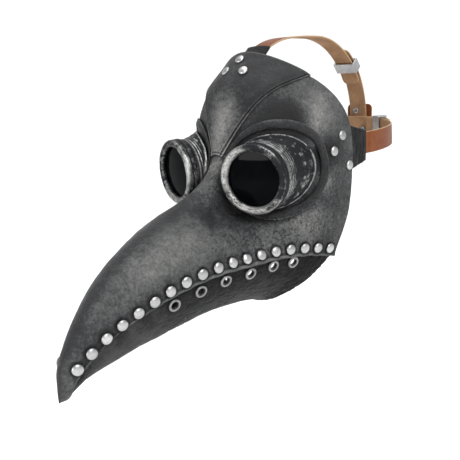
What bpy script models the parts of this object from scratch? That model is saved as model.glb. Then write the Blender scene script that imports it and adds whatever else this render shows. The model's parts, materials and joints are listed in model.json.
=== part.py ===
"""Plague doctor mask: beaked face shell, goggle tubes, studded lower panel and an adjustable head harness.

Metres, +Z up. The mask faces -Y, +X is the wearer's left, and the origin is the middle of the head.
"""

import math

import bmesh
import bpy
import numpy as np
from mathutils import Matrix, Vector
from mathutils.bvhtree import BVHTree

MM = 0.001

# Skins, in millimetres
SHELL_WALL = 2.0
PANEL_WALL = 1.6
TUCK_GAP = 1.3
TUCK_REACH = 9.5
LOWER_SQUARENESS = 1.2
THROAT_CURVE = 9.0
TIP_TAPER = 34.0
PANEL_START = 8.12
GAP = 0.35

# Goggles
EYE_CENTRE = (47.0, -114.0, 16.0)
EYE_TOE_OUT = math.radians(15.5)
EYE_PITCH = math.radians(4.2)
BEZEL_R = 29.6
BEZEL_BORE_R = 23.0
BEZEL_DEPTH = 12.0
TUBE_R = 26.0
TUBE_WALL = 2.4
TUBE_FRONT = 8.3
TUBE_LENGTH = 42.0
FOOT_GAP = 0.4
FOOT_SLOPE_GAP = 0.6
FLARE_START = 15.0
LENS_R = 25.9
LENS_FRONT = 4.6
LENS_BACK = 6.6
GASKET_FRONT = 6.9
GASKET_BACK = 8.0
GASKET_BORE_R = 22.9
EYE_HOLE_R = 24.5
COLLAR_START = 2.2
COLLAR_WIDTH = 8.0
COLLAR_LIFT = 0.75
EYE_SEGMENTS = 32

# Fasteners
STUD_COUNT = 18
STUD_PITCH = 14.9
STUD_FIRST = 31.5
STUD_INSET = 6.5
STUD_R = 4.5
STUD_HEIGHT = 2.7
RIVET_R = 4.2
RIVET_HEIGHT = 2.6
WASHER_R = 3.0
WASHER_THICK = 0.9
SHANK_R = 1.2
SHANK_HOLE_R = 1.6
SHANK_BITE = 0.2
FRONT_STUDS = 3
FRONT_STRIP_DROP = 1.5
STRIP_DROP = 0.5
STRIP_OVERHANG = 2.5
STRIP_TIP_WIDTH = 3.2
STRIP_WIDTH = 5.2
STRIP_THICK = 1.0
HEAD_GAP = 0.5
EYELET_R = 5.5
EYELET_BORE_R = 3.0
EYELET_NECK_R = 3.5
EYELET_CREST_R = 4.4
EYELET_BACK_GAP = 0.7
EYELET_HOLE_R = 3.9
EYELETS = ((2.57, 2.45), (3.4, 2.5), (4.2, 2.55), (5.0, 2.6), (5.87, 2.65), (6.62, 2.65))

# Harness
STRAP_WIDTH = 20.0
STRAP_THICK = 1.6
TAB_WALL = 2.0
TAB_GAP = 0.8
TEMPLE_RIVETS = ((10.62, 2.17), (10.2, 2.33), (10.8, 2.55))
TEMPLE_RIVET_REACH = 9.0
TOP_RIVETS = ((10.38, -0.2), (10.38, 0.2), (10.72, 0.0))
TOP_RIVET_REACH = 14.0
PATCH_CENTRE = (0.0, 123.6, 48.0)
PATCH_SIZE = (30.0, 2.0, 42.0)
PATCH_RIVETS = ((0.0, 62.0), (-8.0, 42.0), (8.0, 42.0))
REAR_RIVET_REACH = 9.0
HARNESS_CENTRE = (0.0, 38.0, 39.2)
HARNESS_R = 76.0
HARNESS_TILT = math.radians(5.0)
LAYER_STEP = 4.2
SIDE_START = ((10.05, 2.32, 1.4), (10.4, 2.36, 0.9), (10.8, 2.37, 0.3))
SIDE_ARC_START = -17.0
SIDE_FRONT_END = 78.0
SIDE_REAR_START = 50.0
SIDE_SLIDER_AT = 64.0
CROWN_CENTRE = (0.0, 32.0, 51.0)
CROWN_R = 85.0
TOP_FRONT_END = 62.0
TOP_REAR_START = 34.0
TOP_SLIDER_AT = 48.0
REAR_DROP = 19.0
TOP_ROUTE = ((-74, 92), (-66.5, 101.5), (-58.5, 111.2), (-46, 123), (-24, 131.5), (4, 135))
TOP_CAMBER = (60.0, 60.0, 60.0, 80.0, 160.0)
TAB_WIDTH = 26.0
TAB_ROWS = (10.0, 10.35, 10.7, 11.0)
TAB_TOP = 2.02
TAB_LOW = 2.58
SLIDER_LENGTH = 12.0
SLIDER_WALL = 1.6
SLIDER_PLAY = 0.55

COLOURS = {
    "leather": ((0.135, 0.135, 0.13, 1), 0.62, 0.0),
    "black_leather": ((0.035, 0.035, 0.036, 1), 0.6, 0.0),
    "antique_metal": ((0.30, 0.30, 0.29, 1), 0.38, 0.9),
    "bright_metal": ((0.70, 0.70, 0.71, 1), 0.3, 1.0),
    "lens": ((0.012, 0.014, 0.017, 1), 0.06, 0.0),
    "rubber": ((0.02, 0.02, 0.02, 1), 0.8, 0.0),
    "tan_leather": ((0.28, 0.10, 0.045, 1), 0.5, 0.0),
    "steel": ((0.42, 0.42, 0.43, 1), 0.35, 1.0),
}


# ---------------------------------------------------------------- surface of the mask


def quarter(ridge, low, width):
    """Five points of a round section: x grows from the ridge to the hem."""
    ridge = np.array((0.0, *ridge))
    low = np.array(low, float)
    points = []
    for step in range(5):
        turn = math.radians(22.5 * step)
        point = ridge + (low - ridge) * (1 - math.cos(turn))
        point[0] = width * math.sin(turn)
        points.append(point)
    return points


def face_net():
    """Rows from the beak's tip to the back edge; columns from the ridge to the left hem."""
    tip = [(0, -278, -131.5)] * 5
    nose = [(0, -277.5, -120), (3.8, -276, -121.5), (5.2, -272.5, -124.5), (3.6, -269.5, -127.5),
            (0, -268.5, -129)]
    beak = [
        quarter((-275.5, -106), (11, -262, -109), 11),
        quarter((-262.5, -82.5), (19, -237, -87), 19),
        quarter((-237, -51.5), (28.5, -204, -71.5), 28.5),
        quarter((-200, -26), (36, -176, -62), 36),
        quarter((-160, -9), (44, -149, -56), 44),
    ]
    face = [
        [(0, -127, 9), (12.5, -124, 1), (21, -117, -14), (38, -114, -26), (51, -118, -54)],
        [(0, -107, 30), (15, -100, 21), (36, -84, 0), (50, -92, -28), (57, -90, -53)],
        [(0, -97, 58), (33, -91, 50), (60, -72, 30), (69, -62, -10), (64, -61, -55)],
        [(0, -87, 92), (42, -73, 82), (70, -50, 50), (76, -37, -8), (68, -43, -58)],
        [(0, -64, 119), (52, -40, 98), (75, -15, 60), (77.5, -15, -12), (70, -28, -61)],
    ]
    return np.array([tip, nose, *beak, *face], float)


def catmull(points, at):
    """Catmull-Rom curve through points along their first axis, at 0 .. len - 1."""
    last = len(points) - 1
    at = np.clip(np.atleast_1d(np.asarray(at, float)), 0, last - 1e-9)
    index = np.floor(at).astype(int)
    part = (at - index).reshape(-1, *[1] * (points.ndim - 1))
    ends = np.concatenate([2 * points[:1] - points[1:2], points, 2 * points[-1:] - points[-2:-1]])
    a, b, c, d = (ends[index + shift] for shift in range(4))
    cubic = (-a + 3 * b - 3 * c + d) * part**3 + (2 * a - 5 * b + 4 * c - d) * part**2
    return 0.5 * (cubic + (c - a) * part + 2 * b)


FACE_NET = face_net()


def face_grid(rows, columns):
    """Points of the outer surface for rows 0..11 by columns -4 (right hem) .. 4 (left hem)."""
    half = catmull(FACE_NET, rows)
    half[..., 0] = np.maximum(half[..., 0], 0)
    mirrored = half[:, :0:-1] * (-1, 1, 1)
    across = np.swapaxes(np.concatenate([mirrored, half], axis=1), 0, 1)
    return np.swapaxes(catmull(across, np.asarray(columns, float) + 4), 0, 1)


def face_point(row, column):
    """A point of the outer surface and the outward normal there."""
    around = face_grid([row - 0.02, row, row + 0.02], [column - 0.03, column, column + 0.03])
    along = around[2, 1] - around[0, 1]
    across = around[1, 2] - around[1, 0]
    normal = np.cross(across, along)
    return around[1, 1], normal / np.linalg.norm(normal)


def grid_normals(grid):
    along = np.gradient(grid, axis=0)
    across = np.gradient(grid, axis=1)
    normals = np.cross(across, along)
    length = np.linalg.norm(normals, axis=2, keepdims=True)
    return normals / np.maximum(length, 1e-9)


def offset_face(row, column, depth):
    """The outer surface moved outward by depth, which is negative towards the inside."""
    point, normal = face_point(row, column)
    return point + normal * depth


# ---------------------------------------------------------------- making objects


def clear_scene():
    for old in list(bpy.data.objects):
        bpy.data.objects.remove(old, do_unlink=True)


def material(name):
    found = bpy.data.materials.get(name)
    if found:
        return found
    colour, roughness, metallic = COLOURS[name]
    made = bpy.data.materials.new(name)
    made.use_nodes = True
    shader = made.node_tree.nodes["Principled BSDF"]
    shader.inputs["Base Color"].default_value = colour
    shader.inputs["Roughness"].default_value = roughness
    shader.inputs["Metallic"].default_value = metallic
    return made


def object_of(name, bm, look, smooth=True):
    """A mesh object from a bmesh in millimetres, with outward normals."""
    bmesh.ops.remove_doubles(bm, verts=bm.verts, dist=1e-4)
    bmesh.ops.recalc_face_normals(bm, faces=bm.faces)
    bmesh.ops.scale(bm, vec=(MM, MM, MM), verts=bm.verts)
    mesh = bpy.data.meshes.new(name)
    bm.to_mesh(mesh)
    bm.free()
    mesh.polygons.foreach_set("use_smooth", [smooth] * len(mesh.polygons))
    made = bpy.data.objects.new(name, mesh)
    made.data.materials.append(material(look))
    bpy.context.scene.collection.objects.link(made)
    return made


def add_grid(bm, grid, closed_rows=False, closed_columns=False):
    """Quads over a grid of points; a closed direction joins its last line to its first."""
    rows, columns = grid.shape[:2]
    verts = [[bm.verts.new(point) for point in line] for line in grid]
    for i in range(rows if closed_rows else rows - 1):
        for j in range(columns if closed_columns else columns - 1):
            corners = (verts[i][j], verts[(i + 1) % rows][j],
                       verts[(i + 1) % rows][(j + 1) % columns], verts[i][(j + 1) % columns])
            bm.faces.new(corners)
    return verts


def tube_grid(name, grid, look, caps=False):
    """A closed solid from rings of points, either closed on themselves or capped at both ends."""
    bm = bmesh.new()
    verts = add_grid(bm, grid, closed_rows=not caps, closed_columns=True)
    if caps:
        bm.faces.new(verts[0])
        bm.faces.new(verts[-1])
    return object_of(name, bm, look)


def sheet(name, grid, wall, look):
    """A skin of even thickness, grown inwards from a grid of outer points."""
    inner = grid - grid_normals(grid) * wall
    rows, columns = grid.shape[:2]
    bm = bmesh.new()
    out = add_grid(bm, grid)
    back = add_grid(bm, inner)
    rim = [(i, 0) for i in range(rows)] + [(rows - 1, j) for j in range(1, columns)]
    rim += [(i, columns - 1) for i in range(rows - 2, -1, -1)]
    rim += [(0, j) for j in range(columns - 2, 0, -1)]
    for here, there in zip(rim, rim[1:] + rim[:1]):
        bm.faces.new((out[here[0]][here[1]], out[there[0]][there[1]],
                      back[there[0]][there[1]], back[here[0]][here[1]]))
    return object_of(name, bm, look)


def skin(name, grid, walls, look):
    """A skin whose wall follows a weight per point, made by a Solidify modifier."""
    bm = bmesh.new()
    add_grid(bm, grid)
    bmesh.ops.remove_doubles(bm, verts=bm.verts, dist=1e-4)
    bm.faces.ensure_lookup_table()
    if sum(face.normal.dot(face.calc_center_median() - Vector((0, -60, 20))) for face in bm.faces) < 0:
        bmesh.ops.reverse_faces(bm, faces=bm.faces)
    bmesh.ops.scale(bm, vec=(MM, MM, MM), verts=bm.verts)
    mesh = bpy.data.meshes.new(name)
    bm.to_mesh(mesh)
    bm.free()
    mesh.polygons.foreach_set("use_smooth", [True] * len(mesh.polygons))
    made = bpy.data.objects.new(name, mesh)
    made.data.materials.append(material(look))
    bpy.context.scene.collection.objects.link(made)
    group = made.vertex_groups.new(name="wall")
    for vertex in mesh.vertices:
        group.add([vertex.index], walls(vertex.co / MM), "REPLACE")
    solid = made.modifiers.new("Wall", "SOLIDIFY")
    solid.thickness = SHELL_WALL * MM
    solid.offset = -1
    solid.vertex_group = "wall"
    solid.thickness_vertex_group = 0.1
    return made


def frame_at(point, normal):
    """Two directions across a normal, for turning a profile about it."""
    normal = np.array(normal, float) / np.linalg.norm(normal)
    first = np.cross(normal, (0.31, 0.17, 0.93))
    first /= np.linalg.norm(first)
    return np.array(point, float), first, np.cross(normal, first), normal


def turned(point, normal, profile, segments):
    """Grid of a profile of (radius, height) turned about the normal through a point."""
    origin, first, second, up = frame_at(point, normal)
    turn = np.linspace(0, 2 * math.pi, segments, endpoint=False)
    ring = np.cos(turn)[:, None] * first + np.sin(turn)[:, None] * second
    return np.array([origin + ring * radius + up * height for radius, height in profile])


def add_turned_solid(bm, point, normal, profile, segments):
    """A solid of revolution whose first and last profile points are its capped ends."""
    verts = add_grid(bm, turned(point, normal, profile, segments), closed_columns=True)
    bm.faces.new(verts[0])
    bm.faces.new(verts[-1])


def cylinder_cutter(name, places, radius, above, below, segments=8):
    """Cutting pins through a skin at (point, normal) places, as one hidden object."""
    bm = bmesh.new()
    for point, normal in places:
        add_turned_solid(bm, point, normal, [(radius, above), (radius, -below)], segments)
    cutter = object_of(name, bm, "steel")
    cutter.hide_render = True
    cutter.display_type = "WIRE"
    return cutter


def boolean(target, other, operation):
    step = target.modifiers.new(other.name, "BOOLEAN")
    step.operation = operation
    step.object = other


def stud_profile(radius, height, shank_r, reach, washer_r=0.0):
    """Domed head above the surface, shank down through the skins, and a clinched end."""
    profile = [(0.35 * radius, height), (0.72 * radius, 0.78 * height), (0.95 * radius, 0.4 * height),
               (radius, HEAD_GAP), (shank_r, HEAD_GAP), (shank_r, -reach)]
    if washer_r:
        profile += [(washer_r, -reach), (washer_r, -reach - WASHER_THICK)]
    return profile


# ---------------------------------------------------------------- skins


def wall_weight(point):
    """Share of the full wall: whole over the face, thinner in the last stretch before the tip."""
    reach = math.dist(point[:], FACE_NET[0, 0])
    return max(0.1, min(1.0, reach / TIP_TAPER))


def make_face_shell():
    rows = np.concatenate([np.linspace(0, 2, 6), np.linspace(2, 7, 12)[1:], np.linspace(7, 11, 13)[1:]])
    columns = np.linspace(-4, 4, 25)
    grid = face_grid(rows, columns)
    return skin("face_shell", grid, wall_weight, "leather")


def tuck_columns(row):
    """How many columns the lower panel reaches up behind the hem."""
    edge, _ = face_point(row, 3.99)
    for columns in np.arange(0.1, 2.5, 0.05):
        if np.linalg.norm(face_point(row, 3.99 - columns)[0] - edge) > TUCK_REACH:
            return columns
    return 2.5


def lower_net():
    """Rows of the lower panel: two columns under the hem, then a round section down to the keel."""
    keels = {2: (-265, -123.5), 3: (-240, -117.5), 4: (-205, -111), 5: (-172, -106.5), 6: (-140, -102),
             7: (-113, -101), 8: (-92, -102), 9: (-75, -104), 10: (-67, -106), 11: (-61, -108)}
    rows = []
    for row, keel in keels.items():
        tuck = SHELL_WALL + TUCK_GAP
        edge = offset_face(row, 4, -tuck)
        upper = offset_face(row, 3.99 - tuck_columns(row), -tuck)
        low = np.array((0.0, *keel))
        section = []
        for turn in (30, 60, 90):
            angle = math.radians(turn)
            point = edge + (low - edge) * math.sin(angle) ** LOWER_SQUARENESS
            point[0] = edge[0] * math.cos(angle) ** LOWER_SQUARENESS
            point[1] -= THROAT_CURVE * max(0.0, row - 8) / 3 * math.sin(2 * angle)
            section.append(point)
        rows.append([upper, edge, *section])
    return np.array(rows)


def lower_grid(rows, columns):
    """Columns run -4 (right tucked edge) .. 0 (keel) .. 4 (left tucked edge)."""
    half = catmull(LOWER_NET, rows)[:, ::-1]
    mirrored = half[:, :0:-1] * (-1, 1, 1)
    across = np.swapaxes(np.concatenate([mirrored, half], axis=1), 0, 1)
    return np.swapaxes(catmull(across, np.asarray(columns, float) + 4), 0, 1)


LOWER_NET = lower_net()


def lower_point(row, column):
    around = lower_grid([row - 0.05, row, row + 0.05], [column - 0.05, column, column + 0.05])
    normal = np.cross(around[2, 1] - around[0, 1], around[1, 2] - around[1, 0])
    normal /= np.linalg.norm(normal)
    if normal[0] < 0:
        normal = -normal
    return around[1, 1], normal


def make_lower_panel():
    rows = np.linspace(0.4, 9, 25)
    columns = np.linspace(-4, 4, 19)
    grid = lower_grid(rows, columns)[:, ::-1]
    return sheet("lower_beak_panel", grid, PANEL_WALL, "black_leather")


def panel_half_width(row):
    """Columns from the ridge to the forehead panel's side seam."""
    return float(catmull(np.array([[0.36], [0.56], [0.88], [1.0]]), [(row - PANEL_START) / 0.96])[0, 0])


def make_forehead_panel():
    rows = np.linspace(PANEL_START, 11, 15)
    lines = []
    for row in rows:
        half = panel_half_width(row)
        columns = np.linspace(-half, half, 13)
        lines.append([offset_face(row, column, GAP + SHELL_WALL) for column in columns])
    return sheet("forehead_panel", np.array(lines), SHELL_WALL, "leather")


# ---------------------------------------------------------------- goggles


def eye_axes(side):
    """Centre of the rim's front plane, the axis out of it, and two directions across."""
    centre = np.array(EYE_CENTRE) * (side, 1, 1)
    out = np.array((side * math.sin(EYE_TOE_OUT) * math.cos(EYE_PITCH),
                    -math.cos(EYE_TOE_OUT) * math.cos(EYE_PITCH), -math.sin(EYE_PITCH)))
    across = np.cross((0, 0, 1), out)
    across /= np.linalg.norm(across)
    return centre, out, across, np.cross(out, across)


def tube_radius(depth):
    """Outer radius behind the front plane: a collar behind the bezel, then a flare to the base."""
    flare = max(0.0, depth - FLARE_START)
    return TUBE_R + 1.4 + 0.30 * flare + 0.0035 * flare**2


def shell_tree():
    grid = face_grid(np.linspace(5, 11, 90), np.linspace(-4, 4, 90))
    bm = bmesh.new()
    add_grid(bm, grid)
    bm.normal_update()
    tree = BVHTree.FromBMesh(bm)
    bm.free()
    return tree


def base_depth(tree, axes, turn, inset):
    """How far behind the front plane the flaring wall meets the shell at one angle."""
    centre, out, across, up = axes
    ring = math.cos(turn) * across + math.sin(turn) * up
    last = centre + ring * (tube_radius(0) - inset)
    for depth in np.arange(1.0, 70.0, 1.0):
        point = centre - out * depth + ring * (tube_radius(depth) - inset)
        step = Vector(point - last)
        hit = tree.ray_cast(Vector(last), step.normalized(), step.length)
        if hit[0] is not None:
            slope = max(0.25, abs(hit[1].dot(Vector(out))))
            met = depth - 1.0 + (hit[0] - Vector(last)).length / step.length
            return met - FOOT_GAP - FOOT_SLOPE_GAP / slope
        last = point
    return TUBE_LENGTH


def make_eye_tube(tree, side, label):
    axes = eye_axes(side)
    centre, out, across, up = axes
    turns = np.linspace(0, 2 * math.pi, EYE_SEGMENTS, endpoint=False)
    shares = (0.0, 0.25, 0.5, 0.75, 1.0)
    lead = [(TUBE_R - TUBE_WALL, TUBE_FRONT), (TUBE_R, TUBE_FRONT), (TUBE_R, 12.6), (28.2, 12.9),
            (28.6, 13.7), (28.2, 14.5), (27.4, FLARE_START)]
    columns = []
    for turn in turns:
        ring = math.cos(turn) * across + math.sin(turn) * up
        outer_end = base_depth(tree, axes, turn, 0.0)
        inner_end = base_depth(tree, axes, turn, TUBE_WALL)
        places = [(radius, depth) for radius, depth in lead]
        for share in shares[1:]:
            depth = FLARE_START + (outer_end - FLARE_START) * share
            places.append((tube_radius(depth), depth))
        for share in shares[::-1]:
            depth = FLARE_START + (inner_end - FLARE_START) * share
            places.append((tube_radius(depth) - TUBE_WALL - 0.4, depth))
        columns.append([centre - out * depth + ring * radius for radius, depth in places])
    grid = np.swapaxes(np.array(columns), 0, 1)
    return tube_grid(f"{label}_eye_tube", grid, "antique_metal")


def creep(tree, place, normal, ring, step):
    """The surface point reached by moving over the surface from place, outwards along ring."""
    way = Vector(ring) - normal * Vector(ring).dot(normal)
    place, normal, _, _ = tree.find_nearest(place + way.normalized() * step)
    return place, normal


def make_eye_collar(tree, side, label):
    """A collar lying on the shell round the base of the tube."""
    axes = eye_axes(side)
    centre, out, across, up = axes
    columns = []
    for turn in np.linspace(0, 2 * math.pi, EYE_SEGMENTS, endpoint=False):
        ring = math.cos(turn) * across + math.sin(turn) * up
        depth = base_depth(tree, axes, turn, 0.0)
        nasal = max(0.0, -side * float(ring[0]))
        step = COLLAR_WIDTH * (1 - 0.65 * nasal) / 2
        place, normal, _, _ = tree.find_nearest(Vector(centre - out * depth + ring * tube_radius(depth)))
        leaning = max(0.0, -normal.dot(Vector(ring)))
        place, normal = creep(tree, place, normal, ring, COLLAR_START + 1.6 * nasal + 5.5 * leaning)
        lower, upper = [], []
        for stop in range(3):
            facing = normal if normal.dot(Vector(out)) > 0 else -normal
            thick = (2.0 if stop == 0 else 1.4) * (1 - 0.5 * nasal)
            lower.append(place + facing * COLLAR_LIFT)
            upper.append(place + facing * (COLLAR_LIFT + thick))
            place, normal = creep(tree, place, normal, ring, step)
        columns.append([np.array(point) for point in lower + upper[::-1]])
    grid = np.swapaxes(np.array(columns), 0, 1)
    return tube_grid(f"{label}_eye_collar", grid, "black_leather")


def make_ring(name, side, profile, look):
    """A ring about the eye axis; the profile is (radius, depth behind the front plane)."""
    centre, out, _, _ = eye_axes(side)
    grid = turned(centre, out, [(radius, -depth) for radius, depth in profile], EYE_SEGMENTS)
    return tube_grid(name, grid, look)


def make_goggle(tree, side, label):
    make_eye_tube(tree, side, label)
    make_eye_collar(tree, side, label)
    bezel = [(BEZEL_BORE_R, 2.2), (24.4, 0.5), (25.0, 0.0), (27.4, 0.0), (28.8, 0.8), (BEZEL_R, 2.6),
             (BEZEL_R, 9.0), (28.8, 11.0), (27.6, BEZEL_DEPTH), (TUBE_R + GAP, BEZEL_DEPTH),
             (TUBE_R + GAP, 4.2), (BEZEL_BORE_R, 4.2)]
    make_ring(f"{label}_bezel", side, bezel, "antique_metal")
    gasket = [(GASKET_BORE_R, GASKET_FRONT), (LENS_R, GASKET_FRONT), (LENS_R, GASKET_BACK),
              (GASKET_BORE_R, GASKET_BACK)]
    make_ring(f"{label}_lens_gasket", side, gasket, "rubber")
    centre, out, _, _ = eye_axes(side)
    bm = bmesh.new()
    add_turned_solid(bm, centre, out, [(LENS_R, -LENS_FRONT), (LENS_R, -LENS_BACK)], EYE_SEGMENTS)
    object_of(f"{label}_lens", bm, "lens", smooth=False)


# ---------------------------------------------------------------- studs, rivets and eyelets


def hem_line():
    """Points and normals every half millimetre or so along the line of studs, from the tip."""
    samples = []
    for row in np.linspace(1.2, 11, 260):
        edge, _ = face_point(row, 3.99)
        low, high = 0.0, 3.0
        for _ in range(12):
            middle = (low + high) / 2
            if np.linalg.norm(face_point(row, 3.99 - middle)[0] - edge) > STUD_INSET:
                high = middle
            else:
                low = middle
        samples.append(face_point(row, 3.99 - low))
    return samples


def stud_places():
    """The left row of studs: one every STUD_PITCH along the line above the hem."""
    samples = hem_line()
    start = np.linalg.norm(samples[0][0] - FACE_NET[0, 0])
    places, travelled, wanted = [], start, STUD_FIRST
    for before, after in zip(samples, samples[1:]):
        step = np.linalg.norm(after[0] - before[0])
        while travelled + step >= wanted and len(places) < STUD_COUNT:
            share = (wanted - travelled) / step
            normal = before[1] + (after[1] - before[1]) * share
            places.append((before[0] + (after[0] - before[0]) * share, normal / np.linalg.norm(normal)))
            wanted += STUD_PITCH
        travelled += step
    return places


def mirrored(places):
    return [(point * (-1, 1, 1), normal * (-1, 1, 1)) for point, normal in places]


def strip_drop(index):
    """How far behind the lower panel the strip runs: further near the narrow tip."""
    return FRONT_STRIP_DROP if index < FRONT_STUDS else STRIP_DROP


def strip_rings(places, depth):
    """Square rings of the metal strip inside the beak, one at each stud."""
    line = np.array([point - normal * (depth + strip_drop(index))
                     for index, (point, normal) in enumerate(places)])
    ways = np.gradient(line, axis=0)
    ways /= np.linalg.norm(ways, axis=1, keepdims=True)
    line[0] -= ways[0] * STRIP_OVERHANG
    line[-1] += ways[-1] * STRIP_OVERHANG
    rings = []
    for index, (_, normal) in enumerate(places):
        width = STRIP_TIP_WIDTH if index < 2 else STRIP_WIDTH
        across = np.cross(normal, ways[index]) * width / 2
        up = normal * STRIP_THICK / 2
        centre = line[index]
        below, above = centre - up, centre + up
        rings.append([below - across, below + across, above + across, above - across])
    return np.array(rings)


def make_stud_row(places, label):
    """A row of domed studs whose shanks are clinched to one strip inside the beak."""
    depth = SHELL_WALL + TUCK_GAP + PANEL_WALL + 2 * GAP
    strip = tube_grid(f"{label}_stud_row", strip_rings(places, depth), "bright_metal", caps=True)
    bm = bmesh.new()
    for index, (point, normal) in enumerate(places):
        reach = depth + strip_drop(index) + SHANK_BITE
        add_turned_solid(bm, point, normal, stud_profile(STUD_R, STUD_HEIGHT, SHANK_R, reach), 9)
    studs = object_of(f"{label}_stud_heads", bm, "bright_metal")
    studs.hide_render = True
    studs.display_type = "WIRE"
    boolean(strip, studs, "UNION")


def make_rivet(name, point, normal, reach):
    bm = bmesh.new()
    profile = stud_profile(RIVET_R, RIVET_HEIGHT, SHANK_R, reach, washer_r=WASHER_R)
    add_turned_solid(bm, point, normal, profile, 12)
    object_of(name, bm, "bright_metal")


def make_eyelet(name, point, normal):
    """A ring rolled over both faces of the lower panel."""
    back = -PANEL_WALL - EYELET_BACK_GAP
    profile = [(EYELET_BORE_R, 0.9), (EYELET_CREST_R, 1.4), (EYELET_R, GAP), (EYELET_NECK_R, GAP),
               (EYELET_NECK_R, back), (EYELET_CREST_R, back), (EYELET_BORE_R, back - 0.6)]
    grid = turned(point, normal, profile, 12)
    tube_grid(name, grid, "antique_metal")


# ---------------------------------------------------------------- harness


def band(name, line, normals, width_way, width, look, thick=STRAP_THICK, camber=()):
    """A strap along a line of points; camber lists the radius its section bends to, from the start."""
    across = np.linspace(-1, 1, 5) if camber else (-1, 1)
    corners = [(a, -1) for a in across] + [(a, 1) for a in across[::-1]]
    grid = []
    for index, (point, normal) in enumerate(zip(line, normals)):
        bend = 1 / camber[index] if index < len(camber) else 0.0
        grid.append([point + width_way * width / 2 * a
                     + normal * (thick / 2 * b - (a * width / 2) ** 2 * bend / 2) for a, b in corners])
    return tube_grid(name, np.array(grid), look, caps=True)


def side_arc(degrees, radius, side):
    """A point and outward normal on the side strap's arc; 0 is the wearer's side, 90 the back."""
    turn = math.radians(degrees)
    back = np.array((0, math.cos(HARNESS_TILT), math.sin(HARNESS_TILT)))
    normal = side * math.cos(turn) * np.array((1.0, 0, 0)) + math.sin(turn) * back
    return np.array(HARNESS_CENTRE) + normal * radius, normal


def crown_arc(degrees, radius):
    """A point and normal on the top strap's arc; 0 is the crown, 90 the back of the head."""
    turn = math.radians(degrees)
    normal = np.array((0, math.sin(turn), math.cos(turn)))
    return np.array(CROWN_CENTRE) + normal * radius, normal


WIDTH_WAY = np.array((0, -math.sin(HARNESS_TILT), math.cos(HARNESS_TILT)))


def temple_point(row, column, depth, side):
    return offset_face(row, column, -depth) * (side, 1, 1)


def side_line(side):
    """Route of the side strap's front piece: behind the temple, then round the head to its end."""
    under = SHELL_WALL + TAB_GAP + TAB_WALL + TAB_GAP + STRAP_THICK / 2
    line, normals = [], []
    for row, column, sink in SIDE_START:
        line.append(temple_point(row, column, under + sink, side))
        normals.append(np.array((side, 0.0, 0.0)))
    for degrees in np.arange(SIDE_ARC_START, SIDE_FRONT_END + 0.1, 5.0):
        point, normal = side_arc(degrees, HARNESS_R, side)
        line.append(point)
        normals.append(normal)
    return line, normals


def make_side_harness(side, label):
    line, normals = side_line(side)
    strap = band(f"{label}_side_strap", line, normals, WIDTH_WAY, STRAP_WIDTH, "tan_leather")
    centre, normal = side_arc(SIDE_SLIDER_AT, HARNESS_R + LAYER_STEP / 2, side)
    make_slider(f"{label}_side_slider", centre, normal, WIDTH_WAY, STRAP_WIDTH, HARNESS_CENTRE)
    return strap


def make_slider(name, centre, normal, width_way, width, pivot):
    """A flat loop round both layers of a strap, with a bar between them; its origin is the pivot."""
    along = np.cross(normal, width_way)
    axes = np.array((width_way, along, normal)).T
    window = STRAP_THICK + 2 * SLIDER_PLAY
    height = LAYER_STEP + window + 2 * SLIDER_WALL
    frame = box(name, (width + 2 * SLIDER_PLAY + 2 * SLIDER_WALL, SLIDER_LENGTH, height), "steel")
    for index, level in enumerate((-LAYER_STEP / 2, LAYER_STEP / 2)):
        slot = box(f"{name}_slot_{index}", (width + 2 * SLIDER_PLAY, SLIDER_LENGTH * 2, window), "steel")
        slot.data.transform(translation((0, 0, level)))
        slot.hide_render = True
        slot.display_type = "WIRE"
        slot.parent = frame
        boolean(frame, slot, "DIFFERENCE")
    for piece in [frame, *frame.children]:
        piece.data.transform(placement(axes, np.array(centre) - np.array(pivot)))
    frame.location = Vector(pivot) * MM


def box(name, sizes, look):
    bm = bmesh.new()
    bmesh.ops.create_cube(bm, size=1.0)
    bmesh.ops.scale(bm, vec=sizes, verts=bm.verts)
    return object_of(name, bm, look, smooth=False)


def translation(offset):
    return Matrix.Translation(Vector(offset) * MM)


def placement(axes, offset):
    """Matrix that turns a mesh onto three axes (columns) and moves it by an offset in millimetres."""
    turn = Matrix(axes.tolist()).to_4x4()
    return translation(offset) @ turn


def make_temple_tab(side, label):
    """Leather tab riveted behind the temple, reaching back over the start of the side strap."""
    lines = []
    for row in TAB_ROWS:
        past = row - TAB_ROWS[0]
        top = TAB_TOP + 0.06 * past
        low = TAB_LOW + 0.04 * past
        lines.append([temple_point(row, column, SHELL_WALL + TAB_GAP, side)
                      for column in np.linspace(top, low, 8)])
    edge, _ = side_arc(SIDE_ARC_START, HARNESS_R + STRAP_THICK / 2 + GAP + TAB_WALL, side)
    last = lines[-1]
    ends = [np.array((edge[0], edge[1] - 1.5, start[2] + 1.0)) for start in last]
    lines.append([start + (end - start) * 0.45 for start, end in zip(last, ends)])
    lines.append(ends)
    grid = np.array(lines)
    if side < 0:
        grid = grid[:, ::-1]
    return sheet(f"{label}_temple_tab", grid, TAB_WALL, "black_leather")


def top_line():
    """Route of the top strap's front piece, from under the forehead over the crown."""
    route = [np.array((0.0, y, z)) for y, z in TOP_ROUTE]
    for degrees in np.arange(0, TOP_FRONT_END + 0.1, 6.2):
        route.append(crown_arc(degrees, CROWN_R)[0])
    ways = np.gradient(np.array(route), axis=0)
    normals = [np.cross(way, (-1.0, 0, 0)) / np.linalg.norm(way) for way in ways]
    return route, normals


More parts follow.
